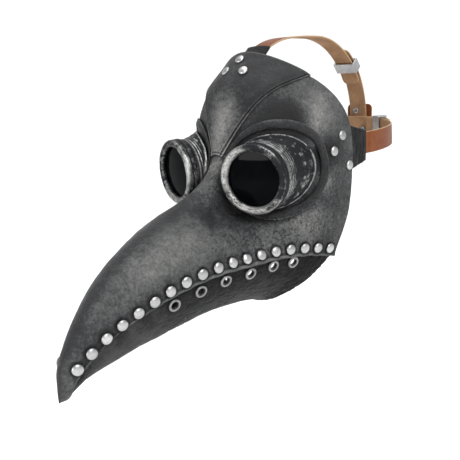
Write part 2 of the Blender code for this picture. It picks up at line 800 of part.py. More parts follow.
def make_top_harness():
    sideways = np.array((1.0, 0, 0))
    route, normals = top_line()
    strap = band("top_strap", route, normals, sideways, STRAP_WIDTH, "tan_leather", camber=TOP_CAMBER)
    lift = STRAP_THICK / 2 + GAP + TAB_WALL / 2
    tab_line = [point + normal * lift for point, normal in zip(route[:4], normals)]
    tab = band("top_strap_tab", tab_line, normals, sideways, TAB_WIDTH, "black_leather",
               TAB_WALL, TOP_CAMBER)
    rear, ways = [], []
    for degrees in np.arange(TOP_REAR_START, 90.1, 7.0):
        point, normal = crown_arc(degrees, CROWN_R + LAYER_STEP)
        rear.append(point)
        ways.append(normal)
    rear.append(rear[-1] + np.array((0, 0, -REAR_DROP)))
    ways.append(ways[-1])
    top_rear = band("top_rear_strap", rear, ways, sideways, STRAP_WIDTH, "tan_leather")
    centre, normal = crown_arc(TOP_SLIDER_AT, CROWN_R + LAYER_STEP / 2)
    make_slider("top_slider", centre, normal, sideways, STRAP_WIDTH, CROWN_CENTRE)
    return strap, tab, top_rear


def make_rear_harness():
    """The strap round the back of the head and the patch that joins it to the top strap."""
    line, normals = [], []
    turns = np.arange(SIDE_REAR_START, 90, 5.0)
    stops = [(1, turn) for turn in turns] + [(1, 90.0)] + [(-1, turn) for turn in turns[::-1]]
    for side, degrees in stops:
        point, normal = side_arc(degrees, HARNESS_R + LAYER_STEP, side)
        line.append(point)
        normals.append(normal)
    strap = band("rear_strap", line, normals, WIDTH_WAY, STRAP_WIDTH, "tan_leather")
    patch = box("rear_patch", PATCH_SIZE, "tan_leather")
    patch.location = Vector(PATCH_CENTRE) * MM
    bevel = patch.modifiers.new("Corners", "BEVEL")
    bevel.width = 0.8 * MM
    bevel.segments = 1
    return strap, patch


# ---------------------------------------------------------------- assembly


def main():
    clear_scene()
    shell = make_face_shell()
    lower = make_lower_panel()
    panel = make_forehead_panel()
    tree = shell_tree()
    hole_places = []
    for side, label in ((1, "left"), (-1, "right")):
        make_goggle(tree, side, label)
        centre, out, _, _ = eye_axes(side)
        hole_places.append((centre, out))
    eye_holes = cylinder_cutter("eye_holes", hole_places, EYE_HOLE_R, -10, 75, EYE_SEGMENTS)
    boolean(shell, eye_holes, "DIFFERENCE")

    studs = stud_places()
    make_stud_row(studs, "left")
    make_stud_row(mirrored(studs), "right")
    shanks = cylinder_cutter("stud_holes", studs + mirrored(studs), SHANK_HOLE_R, 2, 6, 6)
    boolean(shell, shanks, "DIFFERENCE")
    boolean(lower, shanks, "DIFFERENCE")

    eyelets = [lower_point(row, column) for row, column in EYELETS]
    for label, places in (("left", eyelets), ("right", mirrored(eyelets))):
        for index, (point, normal) in enumerate(places):
            make_eyelet(f"{label}_eyelet_{index + 1}", point, normal)
    holes = cylinder_cutter("eyelet_holes", eyelets + mirrored(eyelets), EYELET_HOLE_R, 4, 4, 12)
    boolean(lower, holes, "DIFFERENCE")

    top_strap, top_tab, top_rear = make_top_harness()
    top = [offset_face(row, column, GAP + SHELL_WALL) for row, column in TOP_RIVETS]
    top_places = [(point, face_point(row, column)[1]) for point, (row, column) in zip(top, TOP_RIVETS)]
    top_holes = cylinder_cutter("top_rivet_holes", top_places, SHANK_HOLE_R, 4, 14)
    for target in (shell, panel, top_tab, top_strap):
        boolean(target, top_holes, "DIFFERENCE")
    for index, (point, normal) in enumerate(top_places):
        make_rivet(f"top_rivet_{index + 1}", point, normal, TOP_RIVET_REACH)

    temple = [face_point(row, column) for row, column in TEMPLE_RIVETS]
    for side, label, places in ((1, "left", temple), (-1, "right", mirrored(temple))):
        strap = make_side_harness(side, label)
        tab = make_temple_tab(side, label)
        holes = cylinder_cutter(f"{label}_temple_holes", places, SHANK_HOLE_R, 4, 12)
        for target in (shell, tab, strap):
            boolean(target, holes, "DIFFERENCE")
        for index, (point, normal) in enumerate(places):
            make_rivet(f"{label}_temple_rivet_{index + 1}", point, normal, TEMPLE_RIVET_REACH)

    rear_strap, patch = make_rear_harness()
    rear_places = [(np.array((x, PATCH_CENTRE[1] + PATCH_SIZE[1] / 2, z)), np.array((0.0, 1.0, 0.0)))
                   for x, z in PATCH_RIVETS]
    rear_holes = cylinder_cutter("rear_rivet_holes", rear_places, SHANK_HOLE_R, 4, 14)
    for target in (rear_strap, patch, top_rear):
        boolean(target, rear_holes, "DIFFERENCE")
    for index, (point, normal) in enumerate(rear_places):
        make_rivet(f"rear_rivet_{index + 1}", point, normal, REAR_RIVET_REACH)


main()
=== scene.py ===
"""Looks of the plague doctor mask: fine skins, goggles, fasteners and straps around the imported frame.

The frame is in metres; the shapes here are worked out in millimetres and scaled when a mesh is made.
"""

import json
import math

import bmesh
import bpy
import numpy as np
from mathutils import Matrix, Quaternion, Vector, noise
from mathutils.bvhtree import BVHTree


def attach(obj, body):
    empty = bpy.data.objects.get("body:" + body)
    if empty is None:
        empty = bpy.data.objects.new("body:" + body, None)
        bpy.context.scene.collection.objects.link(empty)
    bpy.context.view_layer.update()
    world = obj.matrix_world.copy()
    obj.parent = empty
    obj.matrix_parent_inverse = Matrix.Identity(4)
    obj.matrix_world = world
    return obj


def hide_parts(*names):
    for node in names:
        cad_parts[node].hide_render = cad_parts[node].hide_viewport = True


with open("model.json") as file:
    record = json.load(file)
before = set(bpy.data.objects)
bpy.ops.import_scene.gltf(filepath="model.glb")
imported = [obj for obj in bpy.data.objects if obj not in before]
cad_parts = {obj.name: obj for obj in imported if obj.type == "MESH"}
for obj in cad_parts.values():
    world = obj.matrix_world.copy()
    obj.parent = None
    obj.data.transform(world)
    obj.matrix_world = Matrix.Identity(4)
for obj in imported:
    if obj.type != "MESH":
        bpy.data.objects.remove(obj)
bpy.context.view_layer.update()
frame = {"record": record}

MM = 0.001
SIDES = ((1, "left"), (-1, "right"))

# Skins, in millimetres
SHELL_WALL = 2.0
PANEL_WALL = 1.6
TUCK_GAP = 1.3
TUCK_REACH = 9.5
MOST_TUCK = 2.5
TIP_TAPER = 34.0
LOWER_SQUARENESS = 1.2
THROAT_CURVE = 9.0
LOWER_NOSE = (0.0, -269.6, -129.8)
GAP = 0.35
PANEL_START = 8.12
PANEL_SEAM = np.array([[0.36], [0.56], [0.88], [1.0]])
PANEL_SEAM_STEP = 0.96
HEM_LIP = 2.6
THREAD_R = 0.34
STITCH_SINK = 0.35
EDGE_SWELL = 0.28
EDGE_ROUND = 0.22

# Goggles
EYE_CENTRE = (47.0, -114.0, 16.0)
BEZEL_R = 29.6
TUBE_R = 26.0
TUBE_WALL = 2.4
TUBE_LENGTH = 42.0
DEEPEST_FOOT = 70.0
FOOT_TRIM = 0.8
FOOT_GAP = 0.4
FOOT_SLOPE_GAP = 0.6
FLARE_START = 15.0
LENS_R = 25.9
LENS_FRONT = 4.9
LENS_BACK = 6.5
LENS_DOME = 1.5
GASKET_RADII = (22.9, 25.85)
GASKET_DEPTHS = (6.95, 7.95)
EYE_HOLE_R = 24.5
COLLAR_START = 2.2
COLLAR_WIDTH = 8.0
COLLAR_LIFT = 0.75
BANDS = ((1.6, 0.45), (3.7, 0.42), (5.8, 0.34), (8.0, 0.24))
# Where silver shows on each rim (+) or black stays (-): degrees round it, spread and amount
RIM_WEAR = {1: ((140, 26, 0.34), (185, 30, 0.10), (262, 38, 0.26), (90, 24, -0.28), (15, 40, -0.36)),
            -1: ((10, 50, 0.26), (250, 45, 0.10), (100, 45, -0.30), (180, 45, -0.25))}

# Fasteners
STUD_COUNT = 18
STUD_PITCH = 14.9
STUD_FIRST = 31.5
STUD_INSET = 6.5
STUD_R = 4.5
STUD_HEIGHT = 2.75
FRONT_STUDS = 3
FRONT_SHANK_DROP = 1.1
SHANK_DROP = 0.2
FRONT_STRIP_DROP = 1.5
STRIP_DROP = 0.5
STRIP_OVERHANG = 2.5
STRIP_TIP_WIDTH = 3.2
STRIP_WIDTH = 5.2
STRIP_THICK = 1.0
STRIP_SECTION = ((-1, -0.6), (-0.9, -1), (0.9, -1), (1, -0.6), (1, 0.6), (0.9, 1), (-0.9, 1), (-1, 0.6))
DOME_SIDES = 28
RIVET_R = 4.2
RIVET_HEIGHT = 2.6
RIVET_REACH = 9.0
TOP_RIVET_REACH = 14.0
WASHER_R = 3.0
REAR_RIVETS = ((0.0, 62.0), (-8.0, 42.0), (8.0, 42.0))
SHANK_R = 1.2
SHANK_HOLE_R = 1.6
EYELETS = ((2.57, 2.45), (3.4, 2.5), (4.2, 2.55), (5.0, 2.6), (5.87, 2.65), (6.62, 2.65))
EYELET_HOLE_R = 3.9
TEMPLE_RIVETS = ((10.62, 2.17), (10.2, 2.33), (10.8, 2.55))
TOP_RIVETS = ((10.38, -0.2), (10.38, 0.2), (10.72, 0.0))

# Harness
STRAP_WIDTH = 20.0
STRAP_THICK = 1.6
TAB_WALL = 2.0
TAB_GAP = 0.8
TAB_WIDTH = 26.0
HARNESS_CENTRE = (0.0, 38.0, 39.2)
HARNESS_R = 76.0
HARNESS_TILT = math.radians(5.0)
LAYER_STEP = 4.2
# Rows and columns that a side strap passes behind, and how far it hangs off the tab there
SIDE_START = ((10.05, 2.32, 1.4), (10.4, 2.36, 0.9), (10.8, 2.37, 0.3))
SIDE_ARC_START = -17.0
SIDE_FRONT_END = 78.0
SIDE_REAR_START = 50.0
SIDE_SLIDER_AT = 64.0
CROWN_CENTRE = (0.0, 32.0, 51.0)
CROWN_R = 85.0
TOP_FRONT_END = 62.0
TOP_REAR_START = 34.0
TOP_SLIDER_AT = 48.0
REAR_DROP = 19.0
TOP_ROUTE = ((-74, 92), (-66.5, 101.5), (-58.5, 111.2), (-46, 123), (-24, 131.5), (4, 135))
TOP_CAMBER = (60.0, 60.0, 60.0, 80.0, 160.0)
SLIDER_LENGTH = 12.0
SLIDER_WALL = 1.6
SLIDER_PLAY = 0.55
PATCH_SIZE = (30.0, 2.0, 42.0)
PATCH_CENTRE = (0.0, 123.6, 48.0)

# Camera and stage, in metres
CAMERA_AT = (0.394, -0.514, 0.089)
CAMERA_AIM = (-0.012, -0.078, -0.039)
CAMERA_LENS = 51.5
CAMERA_ROLL = math.radians(-1.5)
FLOOR_Z = -0.30
WORLD_LIGHT = 0.62
LIGHT_AIM = (0.0, -0.1, 0.0)
# Name, place, size and power of each lamp
LIGHTS = (("key", (1.1, -0.6, 1.1), (0.8, 0.8), 20), ("front", (-0.15, -1.25, 0.0), (0.34, 0.2), 4.0),
          ("top", (0.0, 0.2, 2.4), (2.6, 2.6), 52))


# ---------------------------------------------------------------- surfaces, as in the frame


def quarter(ridge, low, width):
    """Five points of a round section: x grows from the ridge to the hem."""
    ridge = np.array((0.0, *ridge))
    low = np.array(low, float)
    points = []
    for step in range(5):
        turn = math.radians(22.5 * step)
        point = ridge + (low - ridge) * (1 - math.cos(turn))
        point[0] = width * math.sin(turn)
        points.append(point)
    return points


def face_net():
    """Rows from the beak's tip to the back edge; columns from the ridge to the left hem."""
    tip = [(0, -278, -131.5)] * 5
    nose = [(0, -277.5, -120), (3.8, -276, -121.5), (5.2, -272.5, -124.5), (3.6, -269.5, -127.5),
            (0, -268.5, -129)]
    beak = [
        quarter((-275.5, -106), (11, -262, -109), 11),
        quarter((-262.5, -82.5), (19, -237, -87), 19),
        quarter((-237, -51.5), (28.5, -204, -71.5), 28.5),
        quarter((-200, -26), (36, -176, -62), 36),
        quarter((-160, -9), (44, -149, -56), 44),
    ]
    face = [
        [(0, -127, 9), (12.5, -124, 1), (21, -117, -14), (38, -114, -26), (51, -118, -54)],
        [(0, -107, 30), (15, -100, 21), (36, -84, 0), (50, -92, -28), (57, -90, -53)],
        [(0, -97, 58), (33, -91, 50), (60, -72, 30), (69, -62, -10), (64, -61, -55)],
        [(0, -87, 92), (42, -73, 82), (70, -50, 50), (76, -37, -8), (68, -43, -58)],
        [(0, -64, 119), (52, -40, 98), (75, -15, 60), (77.5, -15, -12), (70, -28, -61)],
    ]
    return np.array([tip, nose, *beak, *face], float)


def cubic(before, start, end, after, part):
    """Catmull-Rom between start and end."""
    curve = (-before + 3 * start - 3 * end + after) * part**3
    curve = curve + (2 * before - 5 * start + 4 * end - after) * part**2
    return 0.5 * (curve + (end - before) * part + 2 * start)


def catmull(points, at):
    """Catmull-Rom curve through points along their first axis, at 0 .. len - 1."""
    last = len(points) - 1
    at = np.clip(np.atleast_1d(np.asarray(at, float)), 0, last - 1e-9)
    index = np.floor(at).astype(int)
    part = (at - index).reshape(-1, *[1] * (points.ndim - 1))
    ends = np.concatenate([2 * points[:1] - points[1:2], points, 2 * points[-1:] - points[-2:-1]])
    return cubic(*(ends[index + shift] for shift in range(4)), part)


FACE_NET = face_net()


def length(vectors):
    """Lengths of vectors."""
    return np.linalg.norm(vectors, axis=-1)


def unit(vectors):
    """The same vectors, each of length 1."""
    return vectors / np.maximum(np.linalg.norm(vectors, axis=-1, keepdims=True), 1e-9)


def net_points(net, rows, columns):
    """Points of a net for lists of rows 0 .. and columns -4 (right) .. 4 (left)."""
    half = catmull(net, rows)
    half[..., 0] = np.maximum(half[..., 0], 0)
    lines = np.concatenate([half[:, :0:-1] * (-1, 1, 1), half], axis=1)
    before, after = 2 * lines[:, :1] - lines[:, 1:2], 2 * lines[:, -1:] - lines[:, -2:-1]
    ends = np.concatenate([before, lines, after], axis=1)
    at = np.clip(columns + 4, 0, 8 - 1e-9)
    index = np.floor(at).astype(int)
    picked = [ends[np.arange(len(at)), index + shift] for shift in range(4)]
    return cubic(*picked, (at - index)[:, None])


def net_grid(net, rows, columns):
    """Points of a net for every row by every column."""
    row_of, column_of = np.meshgrid(rows, columns, indexing="ij")
    return net_points(net, row_of.ravel(), column_of.ravel()).reshape(*row_of.shape, 3)


def net_at(net, rows, columns):
    """Points of a net at pairs of row and column, and the outward normals there."""
    rows, columns = np.broadcast_arrays(np.asarray(rows, float), np.asarray(columns, float))
    row, column = rows.ravel(), columns.ravel()
    along = net_points(net, row + 0.03, column) - net_points(net, row - 0.03, column)
    across = net_points(net, row, column + 0.03) - net_points(net, row, column - 0.03)
    normals = unit(np.cross(across, along))
    return net_points(net, row, column).reshape(*rows.shape, 3), normals.reshape(*rows.shape, 3)


def face_point(row, column):
    """A point of the outer surface and its outward normal."""
    point, normal = net_at(FACE_NET, [row], [column])
    return point[0], normal[0]


def offset_face(row, column, depth):
    """The outer surface moved outward by depth, which is negative towards the inside."""
    point, normal = face_point(row, column)
    return point + normal * depth


def tuck_columns(row):
    """How many columns the lower panel reaches up behind the hem."""
    edge, _ = face_point(row, 3.99)
    for columns in np.arange(0.1, MOST_TUCK, 0.05):
        if np.linalg.norm(face_point(row, 3.99 - columns)[0] - edge) > TUCK_REACH:
            return columns
    return MOST_TUCK


def lower_net():
    """Rows of the lower panel: columns from the keel to the edge tucked up behind the hem."""
    keels = {2: (-265, -123.5), 3: (-240, -117.5), 4: (-205, -111), 5: (-172, -106.5), 6: (-140, -102),
             7: (-113, -101), 8: (-92, -102), 9: (-75, -104), 10: (-67, -106), 11: (-61, -108)}
    rows = []
    for row, keel in keels.items():
        tuck = SHELL_WALL + TUCK_GAP
        edge = offset_face(row, 3.97, -tuck)
        upper = offset_face(row, 3.99 - tuck_columns(row), -tuck)
        low = np.array((0.0, *keel))
        section = []
        for turn in (30, 60, 90):
            angle = math.radians(turn)
            point = edge + (low - edge) * math.sin(angle) ** LOWER_SQUARENESS
            point[0] = edge[0] * math.cos(angle) ** LOWER_SQUARENESS
            point[1] -= THROAT_CURVE * max(0.0, row - 8) / 3 * math.sin(2 * angle)
            section.append(point)
        rows.append([*section[::-1], edge, upper])
    return np.array(rows)


LOWER_NET = lower_net()


def grid_normals(grid):
    """Outward normals of a grid whose columns run from right to left over the top."""
    return unit(np.cross(np.gradient(grid, axis=1), np.gradient(grid, axis=0)))


def smooth_step(low, high, value):
    """Rises smoothly from 0 at low to 1 at high."""
    part = np.clip((value - low) / (high - low), 0, 1)
    return part * part * (3 - 2 * part)


def bell(distance, width):
    """Falls from 1 at no distance towards 0 beyond the width."""
    return np.exp(-(distance / width) ** 2)


def waves(distance, *shapes):
    """Sum of bells, each given as its height, the distance it stands at and its width."""
    return sum(height * bell(distance - at, width) for height, at, width in shapes)


def cloudy(points, size, octaves=2, seed=0.0):
    """Fractal noise about zero at points in millimetres, with features of that size."""
    flat = np.asarray(points).reshape(-1, 3) / size + seed
    found = [noise.fractal(Vector(point), 0.8, 2.1, octaves) for point in flat]
    return np.array(found).reshape(points.shape[:-1])


def cells(points, size, seed=0.0):
    """Distance to the nearest of scattered seeds, in cell sizes."""
    flat = np.asarray(points).reshape(-1, 3) / size + seed
    return np.array([noise.voronoi(Vector(point))[0][0] for point in flat]).reshape(points.shape[:-1])


# ---------------------------------------------------------------- meshes


def placed(name, data):
    """An object of the scene with this data."""
    made = bpy.data.objects.new(name, data)
    bpy.context.scene.collection.objects.link(made)
    return made


def smooth_object(name, bm, looks):
    """A smooth-shaded object from a bmesh in metres."""
    mesh = bpy.data.meshes.new(name)
    bm.to_mesh(mesh)
    bm.free()
    mesh.polygons.foreach_set("use_smooth", [True] * len(mesh.polygons))
    for look in looks:
        mesh.materials.append(look)
    return placed(name, mesh)


def object_of(name, bm, looks):
    """A smooth-shaded object from a bmesh in millimetres, its faces turned outward."""
    bmesh.ops.recalc_face_normals(bm, faces=bm.faces)
    bmesh.ops.scale(bm, vec=(MM, MM, MM), verts=bm.verts)
    return smooth_object(name, bm, looks)


def part_of_frame(piece, nodes, body="mask"):
    """Hides the frame nodes that a piece stands for and attaches it to the body that it moves with."""
    if nodes:
        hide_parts(*nodes)
    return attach(piece, body)


def add_grid(bm, grid, values=None, closed_rows=False, closed_columns=False, material_index=0):
    """Quads over a grid of points. values is a dict of point attributes, each a grid of numbers."""
    rows, columns = grid.shape[:2]
    values = values or {}
    layers = bm.verts.layers.float
    for name in values:
        if name not in layers.keys():
            layers.new(name)
    verts = [[bm.verts.new(point) for point in line] for line in grid]
    for name, numbers in values.items():
        layer = layers[name]
        for line, amounts in zip(verts, numbers):
            for vert, amount in zip(line, amounts):
                vert[layer] = float(amount)
    for i in range(rows if closed_rows else rows - 1):
        here, there = verts[i], verts[(i + 1) % rows]
        for j in range(columns if closed_columns else columns - 1):
            after = (j + 1) % columns
            face = bm.faces.new((here[j], there[j], there[after], here[after]))
            face.material_index = material_index
    return verts


def add_capped(bm, rings, values=None):
    """A tube through rings of points, with a flat face over each end."""
    verts = add_grid(bm, rings, values, closed_columns=True)
    bm.faces.new(verts[0])
    bm.faces.new(verts[-1])


def rim_of(rows, columns):
    """Places of a grid's edge, once round."""
    places = [(i, 0) for i in range(rows)] + [(rows - 1, j) for j in range(1, columns)]
    places += [(i, columns - 1) for i in range(rows - 2, -1, -1)]
    return places + [(0, j) for j in range(columns - 2, 0, -1)]


def leather_sheet(name, outer, walls, looks, values):
    """A skin with rounded edges. looks are the outside, the flesh side and the cut edge."""
    normals = grid_normals(outer)
    walls = np.broadcast_to(np.asarray(walls, float), outer.shape[:2])[..., None]
    inner = outer - normals * walls
    rows, columns = outer.shape[:2]
    rim = rim_of(rows, columns)
    middles = []
    for i, j in rim:
        away = outer[i, j] - outer[min(max(i, 1), rows - 2), min(max(j, 1), columns - 2)]
        away /= max(np.linalg.norm(away), 1e-6)
        middles.append((outer[i, j] + inner[i, j]) / 2 + away * walls[i, j] * EDGE_SWELL)
    for i, j in rim:
        outer[i, j] -= normals[i, j] * walls[i, j] * EDGE_ROUND
        inner[i, j] += normals[i, j] * walls[i, j] * EDGE_ROUND
    bm = bmesh.new()
    out = add_grid(bm, outer, values)
    back = add_grid(bm, inner, values, material_index=1)
    belt = []
    for (i, j), point in zip(rim, middles):
        vert = bm.verts.new(point)
        for attribute, numbers in values.items():
            vert[bm.verts.layers.float[attribute]] = float(numbers[i, j])
        belt.append(vert)
    turn = [*range(1, len(rim)), 0]
    for here, (i, j), there in zip(range(len(rim)), rim, turn):
        k, m = rim[there]
        for corners in ((out[i][j], out[k][m], belt[there], belt[here]),
                        (belt[here], belt[there], back[k][m], back[i][j])):
            bm.faces.new(corners).material_index = 2
    bmesh.ops.remove_doubles(bm, verts=bm.verts, dist=1e-3)
    return object_of(name, bm, looks)


def tube_of(name, grid, looks, values=None, caps=False):
    """A closed solid from rings of points, closed on themselves or capped at both ends."""
    bm = bmesh.new()
    if caps:
        add_capped(bm, grid, values)
    else:
        add_grid(bm, grid, values, closed_rows=True, closed_columns=True)
    return object_of(name, bm, looks)


def frame_at(point, normal):
    """A point, two directions across a normal there, and the normal."""
    normal = unit(np.array(normal, float))
    first = unit(np.cross(normal, (0.31, 0.17, 0.93)))
    return np.array(point, float), first, np.cross(normal, first), normal


def turned(point, normal, profile, segments):
    """Grid of a profile of (radius, height) turned about the normal through a point."""
    origin, first, second, up = frame_at(point, normal)
    turn = np.linspace(0, 2 * math.pi, segments, endpoint=False)
    ring = np.cos(turn)[:, None] * first + np.sin(turn)[:, None] * second
    return np.array([origin + ring * radius + up * height for radius, height in profile])


def round_profile(corners, radius, steps=3):
    """A profile with its corners rounded, as (radius, height) points; the ends stay."""
    corners = [np.array(corner, float) for corner in corners]
    made = [corners[0]]
    for before, here, after in zip(corners, corners[1:], corners[2:]):
        to_before, to_after = before - here, after - here
        reach = min(radius, np.linalg.norm(to_before) / 2, np.linalg.norm(to_after) / 2)
        start = here + to_before / np.linalg.norm(to_before) * reach
        end = here + to_after / np.linalg.norm(to_after) * reach
        for share in np.linspace(0, 1, steps + 1):
            made.append((1 - share) ** 2 * start + 2 * share * (1 - share) * here + share**2 * end)
    return made + [corners[-1]]


def cutter_of(name, places, radius, above, below, segments):
    """Cutting pins at (point, normal) places."""
    bm = bmesh.new()
    for point, normal in places:
        add_capped(bm, turned(point, normal, [(radius, above), (radius, -below)], segments))
    return object_of(name, bm, [])


def cut(piece, *cutters):
    """Cuts holes, bakes the result into the piece and deletes the cutters."""
    for cutter in cutters:
        step = piece.modifiers.new("Hole", "BOOLEAN")
        step.operation = "DIFFERENCE"
        step.object = cutter
    bpy.context.view_layer.update()
    evaluated = piece.evaluated_get(bpy.context.evaluated_depsgraph_get())
    mesh = bpy.data.meshes.new_from_object(evaluated)
    piece.modifiers.clear()
    piece.data = mesh
    for cutter in cutters:
        bpy.data.objects.remove(cutter, do_unlink=True)


# ---------------------------------------------------------------- materials


class Nodes:
    """Short ways to add and join the nodes of one material. Sizes and depths are in millimetres."""

    def __init__(self, name):
        self.material = bpy.data.materials.new(name)
        self.material.use_nodes = True
        self.tree = self.material.node_tree
        self.shader = self.tree.nodes["Principled BSDF"]
        self.place = self.add("TexCoord").outputs["Object"]

    def add(self, kind, inputs=None, **settings):
        """A node; its inputs are given as numbers, colours or outputs of other nodes."""
        made = self.tree.nodes.new("ShaderNode" + kind)
        for key, value in settings.items():
            setattr(made, key, value)
        for key, value in (inputs or {}).items():
            self.feed(made.inputs[key], value)
        return made

    def feed(self, socket, value):
        """Joins an output to a socket, or sets the socket to a value."""
        if isinstance(value, bpy.types.NodeSocket):
            self.tree.links.new(value, socket)
        else:
            socket.default_value = value

    def noise(self, size, detail=3.0, roughness=0.55, distortion=0.0, stretch=None):
        """Noise with features of that size."""
        place = self.place
        if stretch:
            place = self.add("Mapping", {"Vector": place, "Scale": stretch}).outputs["Vector"]
        inputs = {"Vector": place, "Scale": 1 / (size * MM), "Detail": detail, "Roughness": roughness,
                  "Distortion": distortion}
        return self.add("TexNoise", inputs).outputs["Fac"]

    def cells(self, size, feature="F1", warp=0.0):
        """Distances within cells of that size, on places warped by a swirl."""
        place = self.place
        if warp:
            swirl = self.add("TexNoise", {"Vector": place, "Scale": 0.6 / (size * MM)}).outputs["Color"]
            moved = self.add("VectorMath", {0: swirl, "Scale": warp * MM}, operation="SCALE").outputs[0]
            place = self.add("VectorMath", {0: place, 1: moved}, operation="ADD").outputs[0]
        inputs = {"Vector": place, "Scale": 1 / (size * MM)}
        return self.add("TexVoronoi", inputs, feature=feature).outputs["Distance"]

    def attribute(self, name):
        """A number that the mesh carries at each point."""
        return self.add("Attribute", attribute_name=name).outputs["Fac"]

    def times(self, first, second):
        """Product of two values."""
        return self.add("Math", {0: first, 1: second}, operation="MULTIPLY").outputs[0]

    def total(self, *terms):
        """Sum of values; a pair is a value and its share."""
        found = None
        for term in terms:
            value = self.times(*term) if isinstance(term, tuple) else term
            if found is not None:
                value = self.add("Math", {0: found, 1: value}, operation="ADD").outputs[0]
            found = value
        return found

    def ranged(self, value, low, high, to_low=0.0, to_high=1.0):
        """A value moved from one range to another, and kept within it."""
        inputs = {"Value": value, "From Min": low, "From Max": high, "To Min": to_low, "To Max": to_high}
        return self.add("MapRange", inputs).outputs["Result"]

    def ramp(self, value, stops):
        """Colours read off a ramp."""
        made = self.add("ValToRGB", {"Fac": value})
        ramp = made.color_ramp
        while len(ramp.elements) < len(stops):
            ramp.elements.new(0.5)
        for element, (place, colour) in zip(ramp.elements, stops):
            element.position = place
            element.color = (*colour, 1)
        return made.outputs["Color"]

    def mix(self, share, first, second):
        """A colour between two."""
        made = self.add("Mix", {"Factor": share}, data_type="RGBA")
        for socket, value in ((made.inputs[6], first), (made.inputs[7], second)):
            self.feed(socket, value if isinstance(value, bpy.types.NodeSocket) else (*value, 1))
        return made.outputs[2]

    def bump(self, height, depth):
        """Normal from a height, with its full range this deep."""
        inputs = {"Height": height, "Distance": depth * MM, "Strength": 1.0}
        return self.add("Bump", inputs).outputs["Normal"]

    def set(self, **inputs):
        """Feeds the shader and gives the finished material."""
        for key, value in inputs.items():
            self.feed(self.shader.inputs[key.replace("_", " ")], value)
        return self.material


def scaled(colour, share):
    """A colour made darker or lighter."""
    return tuple(part * share for part in colour)


def mask_leather(name, stops, shine=(0.42, 0.62), gloss=0.24):
    """Airbrushed leather: black worked into a grey skin, rubbed back to light grey where it wears; the
    mesh's numbers also carry painted shade.
    """
    n = Nodes(name)
    folded = n.add("VectorMath", {0: n.place}, operation="ABSOLUTE").outputs[0]
    far = n.add("VectorMath", {0: folded, 1: AGED_PLACE}, operation="DISTANCE").outputs["Value"]
    aged = n.ranged(far, *AGED_REACH, 1.0, 0.25)
    mottle = n.noise(11, detail=6, roughness=0.62, distortion=0.5)
    pebble = n.noise(2.4, detail=6, roughness=0.78)
    pits = n.ranged(n.noise(2.3, detail=3, roughness=0.7), 0.53, 0.63)
    cracked = n.ranged(n.noise(17, detail=2), 0.44, 0.60)
    crackle = n.ranged(n.cells(4.2, "DISTANCE_TO_EDGE", warp=7.0), 0.0, 0.11, 1.0, 0.0)
    crackle = n.times(n.times(crackle, cracked), aged)
    wear_and_shade = n.total(n.attribute("wear_and_shade"), n.ranged(mottle, 0.3, 0.7, -0.11, 0.11),
                   n.ranged(pebble, 0.3, 0.7, -0.20, 0.20), (n.times(pits, aged), -0.29), (crackle, -0.22))
    creases = n.noise(6, detail=5, roughness=0.65, distortion=1.0)
    height = n.total((n.cells(1.5), 0.35), pebble, (creases, 1.2), (crackle, -0.35))
    return n.set(Base_Color=n.ramp(wear_and_shade, stops), Roughness=n.ranged(pebble, 0.3, 0.7, *shine),
                 Normal=n.bump(height, 0.9), Specular_IOR_Level=gloss)


def flesh_side(name, colour):
    """Napped inner side of the leather."""
    n = Nodes(name)
    nap = n.noise(0.8, detail=6, roughness=0.75)
    cloud = n.noise(16, detail=3)
    fill = n.mix(n.ranged(n.total(nap, cloud), 0.7, 1.3), colour, scaled(colour, 1.9))
    return n.set(Base_Color=fill, Roughness=0.92, Normal=n.bump(nap, 0.5), Specular_IOR_Level=0.2)


def cut_edge(name, colour):
    """Raw edge of a hide, with its fibres."""
    n = Nodes(name)
    fibres = n.noise(0.7, detail=5, roughness=0.7)
    fill = n.mix(n.ranged(fibres, 0.3, 0.7), scaled(colour, 0.55), colour)
    return n.set(Base_Color=fill, Roughness=0.8, Normal=n.bump(fibres, 0.25))


def rubbed_metal(name, cover, silver, soft):
    """Silver rubbed over black: cover is the share the silver takes, soft how gradually it starts."""
    n = Nodes(name)
    broad = n.noise(7.5, detail=5, roughness=0.66, distortion=0.8)
    fleck = n.noise(1.3, detail=5, roughness=0.72)
    raised = n.attribute("raised")
    edge = 1.20 - 0.55 * cover
    share = n.ranged(n.total((broad, 0.8), (fleck, 0.7), (raised, 0.45)), edge - soft, edge + soft)
    tone = n.ranged(n.total(fleck, raised), 0.35, 1.3, 0.40, 1.0)
    fill = n.mix(share, (0.006, 0.0065, 0.008), n.mix(tone, scaled(silver, 0.35), silver))
    return n.set(Base_Color=fill, Metallic=n.ranged(share, 0.1, 0.9, 0.0, 0.92),
                 Roughness=n.ranged(n.total(fleck, share), 0.3, 1.6, 0.5, 0.27),
                 Normal=n.bump(n.total((broad, 0.8), (fleck, 0.45)), 0.6), Specular_IOR_Level=0.12)


def plated(name, colour, roughness=(0.24, 0.4)):
    """Nickel plate, dulled by fine scratches and darkened by painted shade where the mesh marks it."""
    n = Nodes(name)
    haze = n.noise(2.2, detail=6, roughness=0.7)
    scratch = n.noise(0.6, detail=3, stretch=(1, 0.15, 1))
    painted_shade = n.times(n.attribute("painted_shade"), n.ranged(haze, 0.25, 0.75, 0.75, 1.1))
    dull = n.times(n.ranged(haze, 0.3, 0.7, 0.45, 1.0), n.ranged(n.noise(17), 0.38, 0.62, 0.4, 1.0))
    fill = n.mix(painted_shade, n.mix(dull, scaled(colour, 0.5), colour), (0.03, 0.03, 0.03))
    return n.set(Base_Color=fill, Metallic=n.ranged(painted_shade, 0.2, 1.0, 1.0, 0.3),
                 Roughness=n.ranged(haze, 0.3, 0.7, *roughness),
                 Normal=n.bump(n.total(haze, scratch), 0.06))


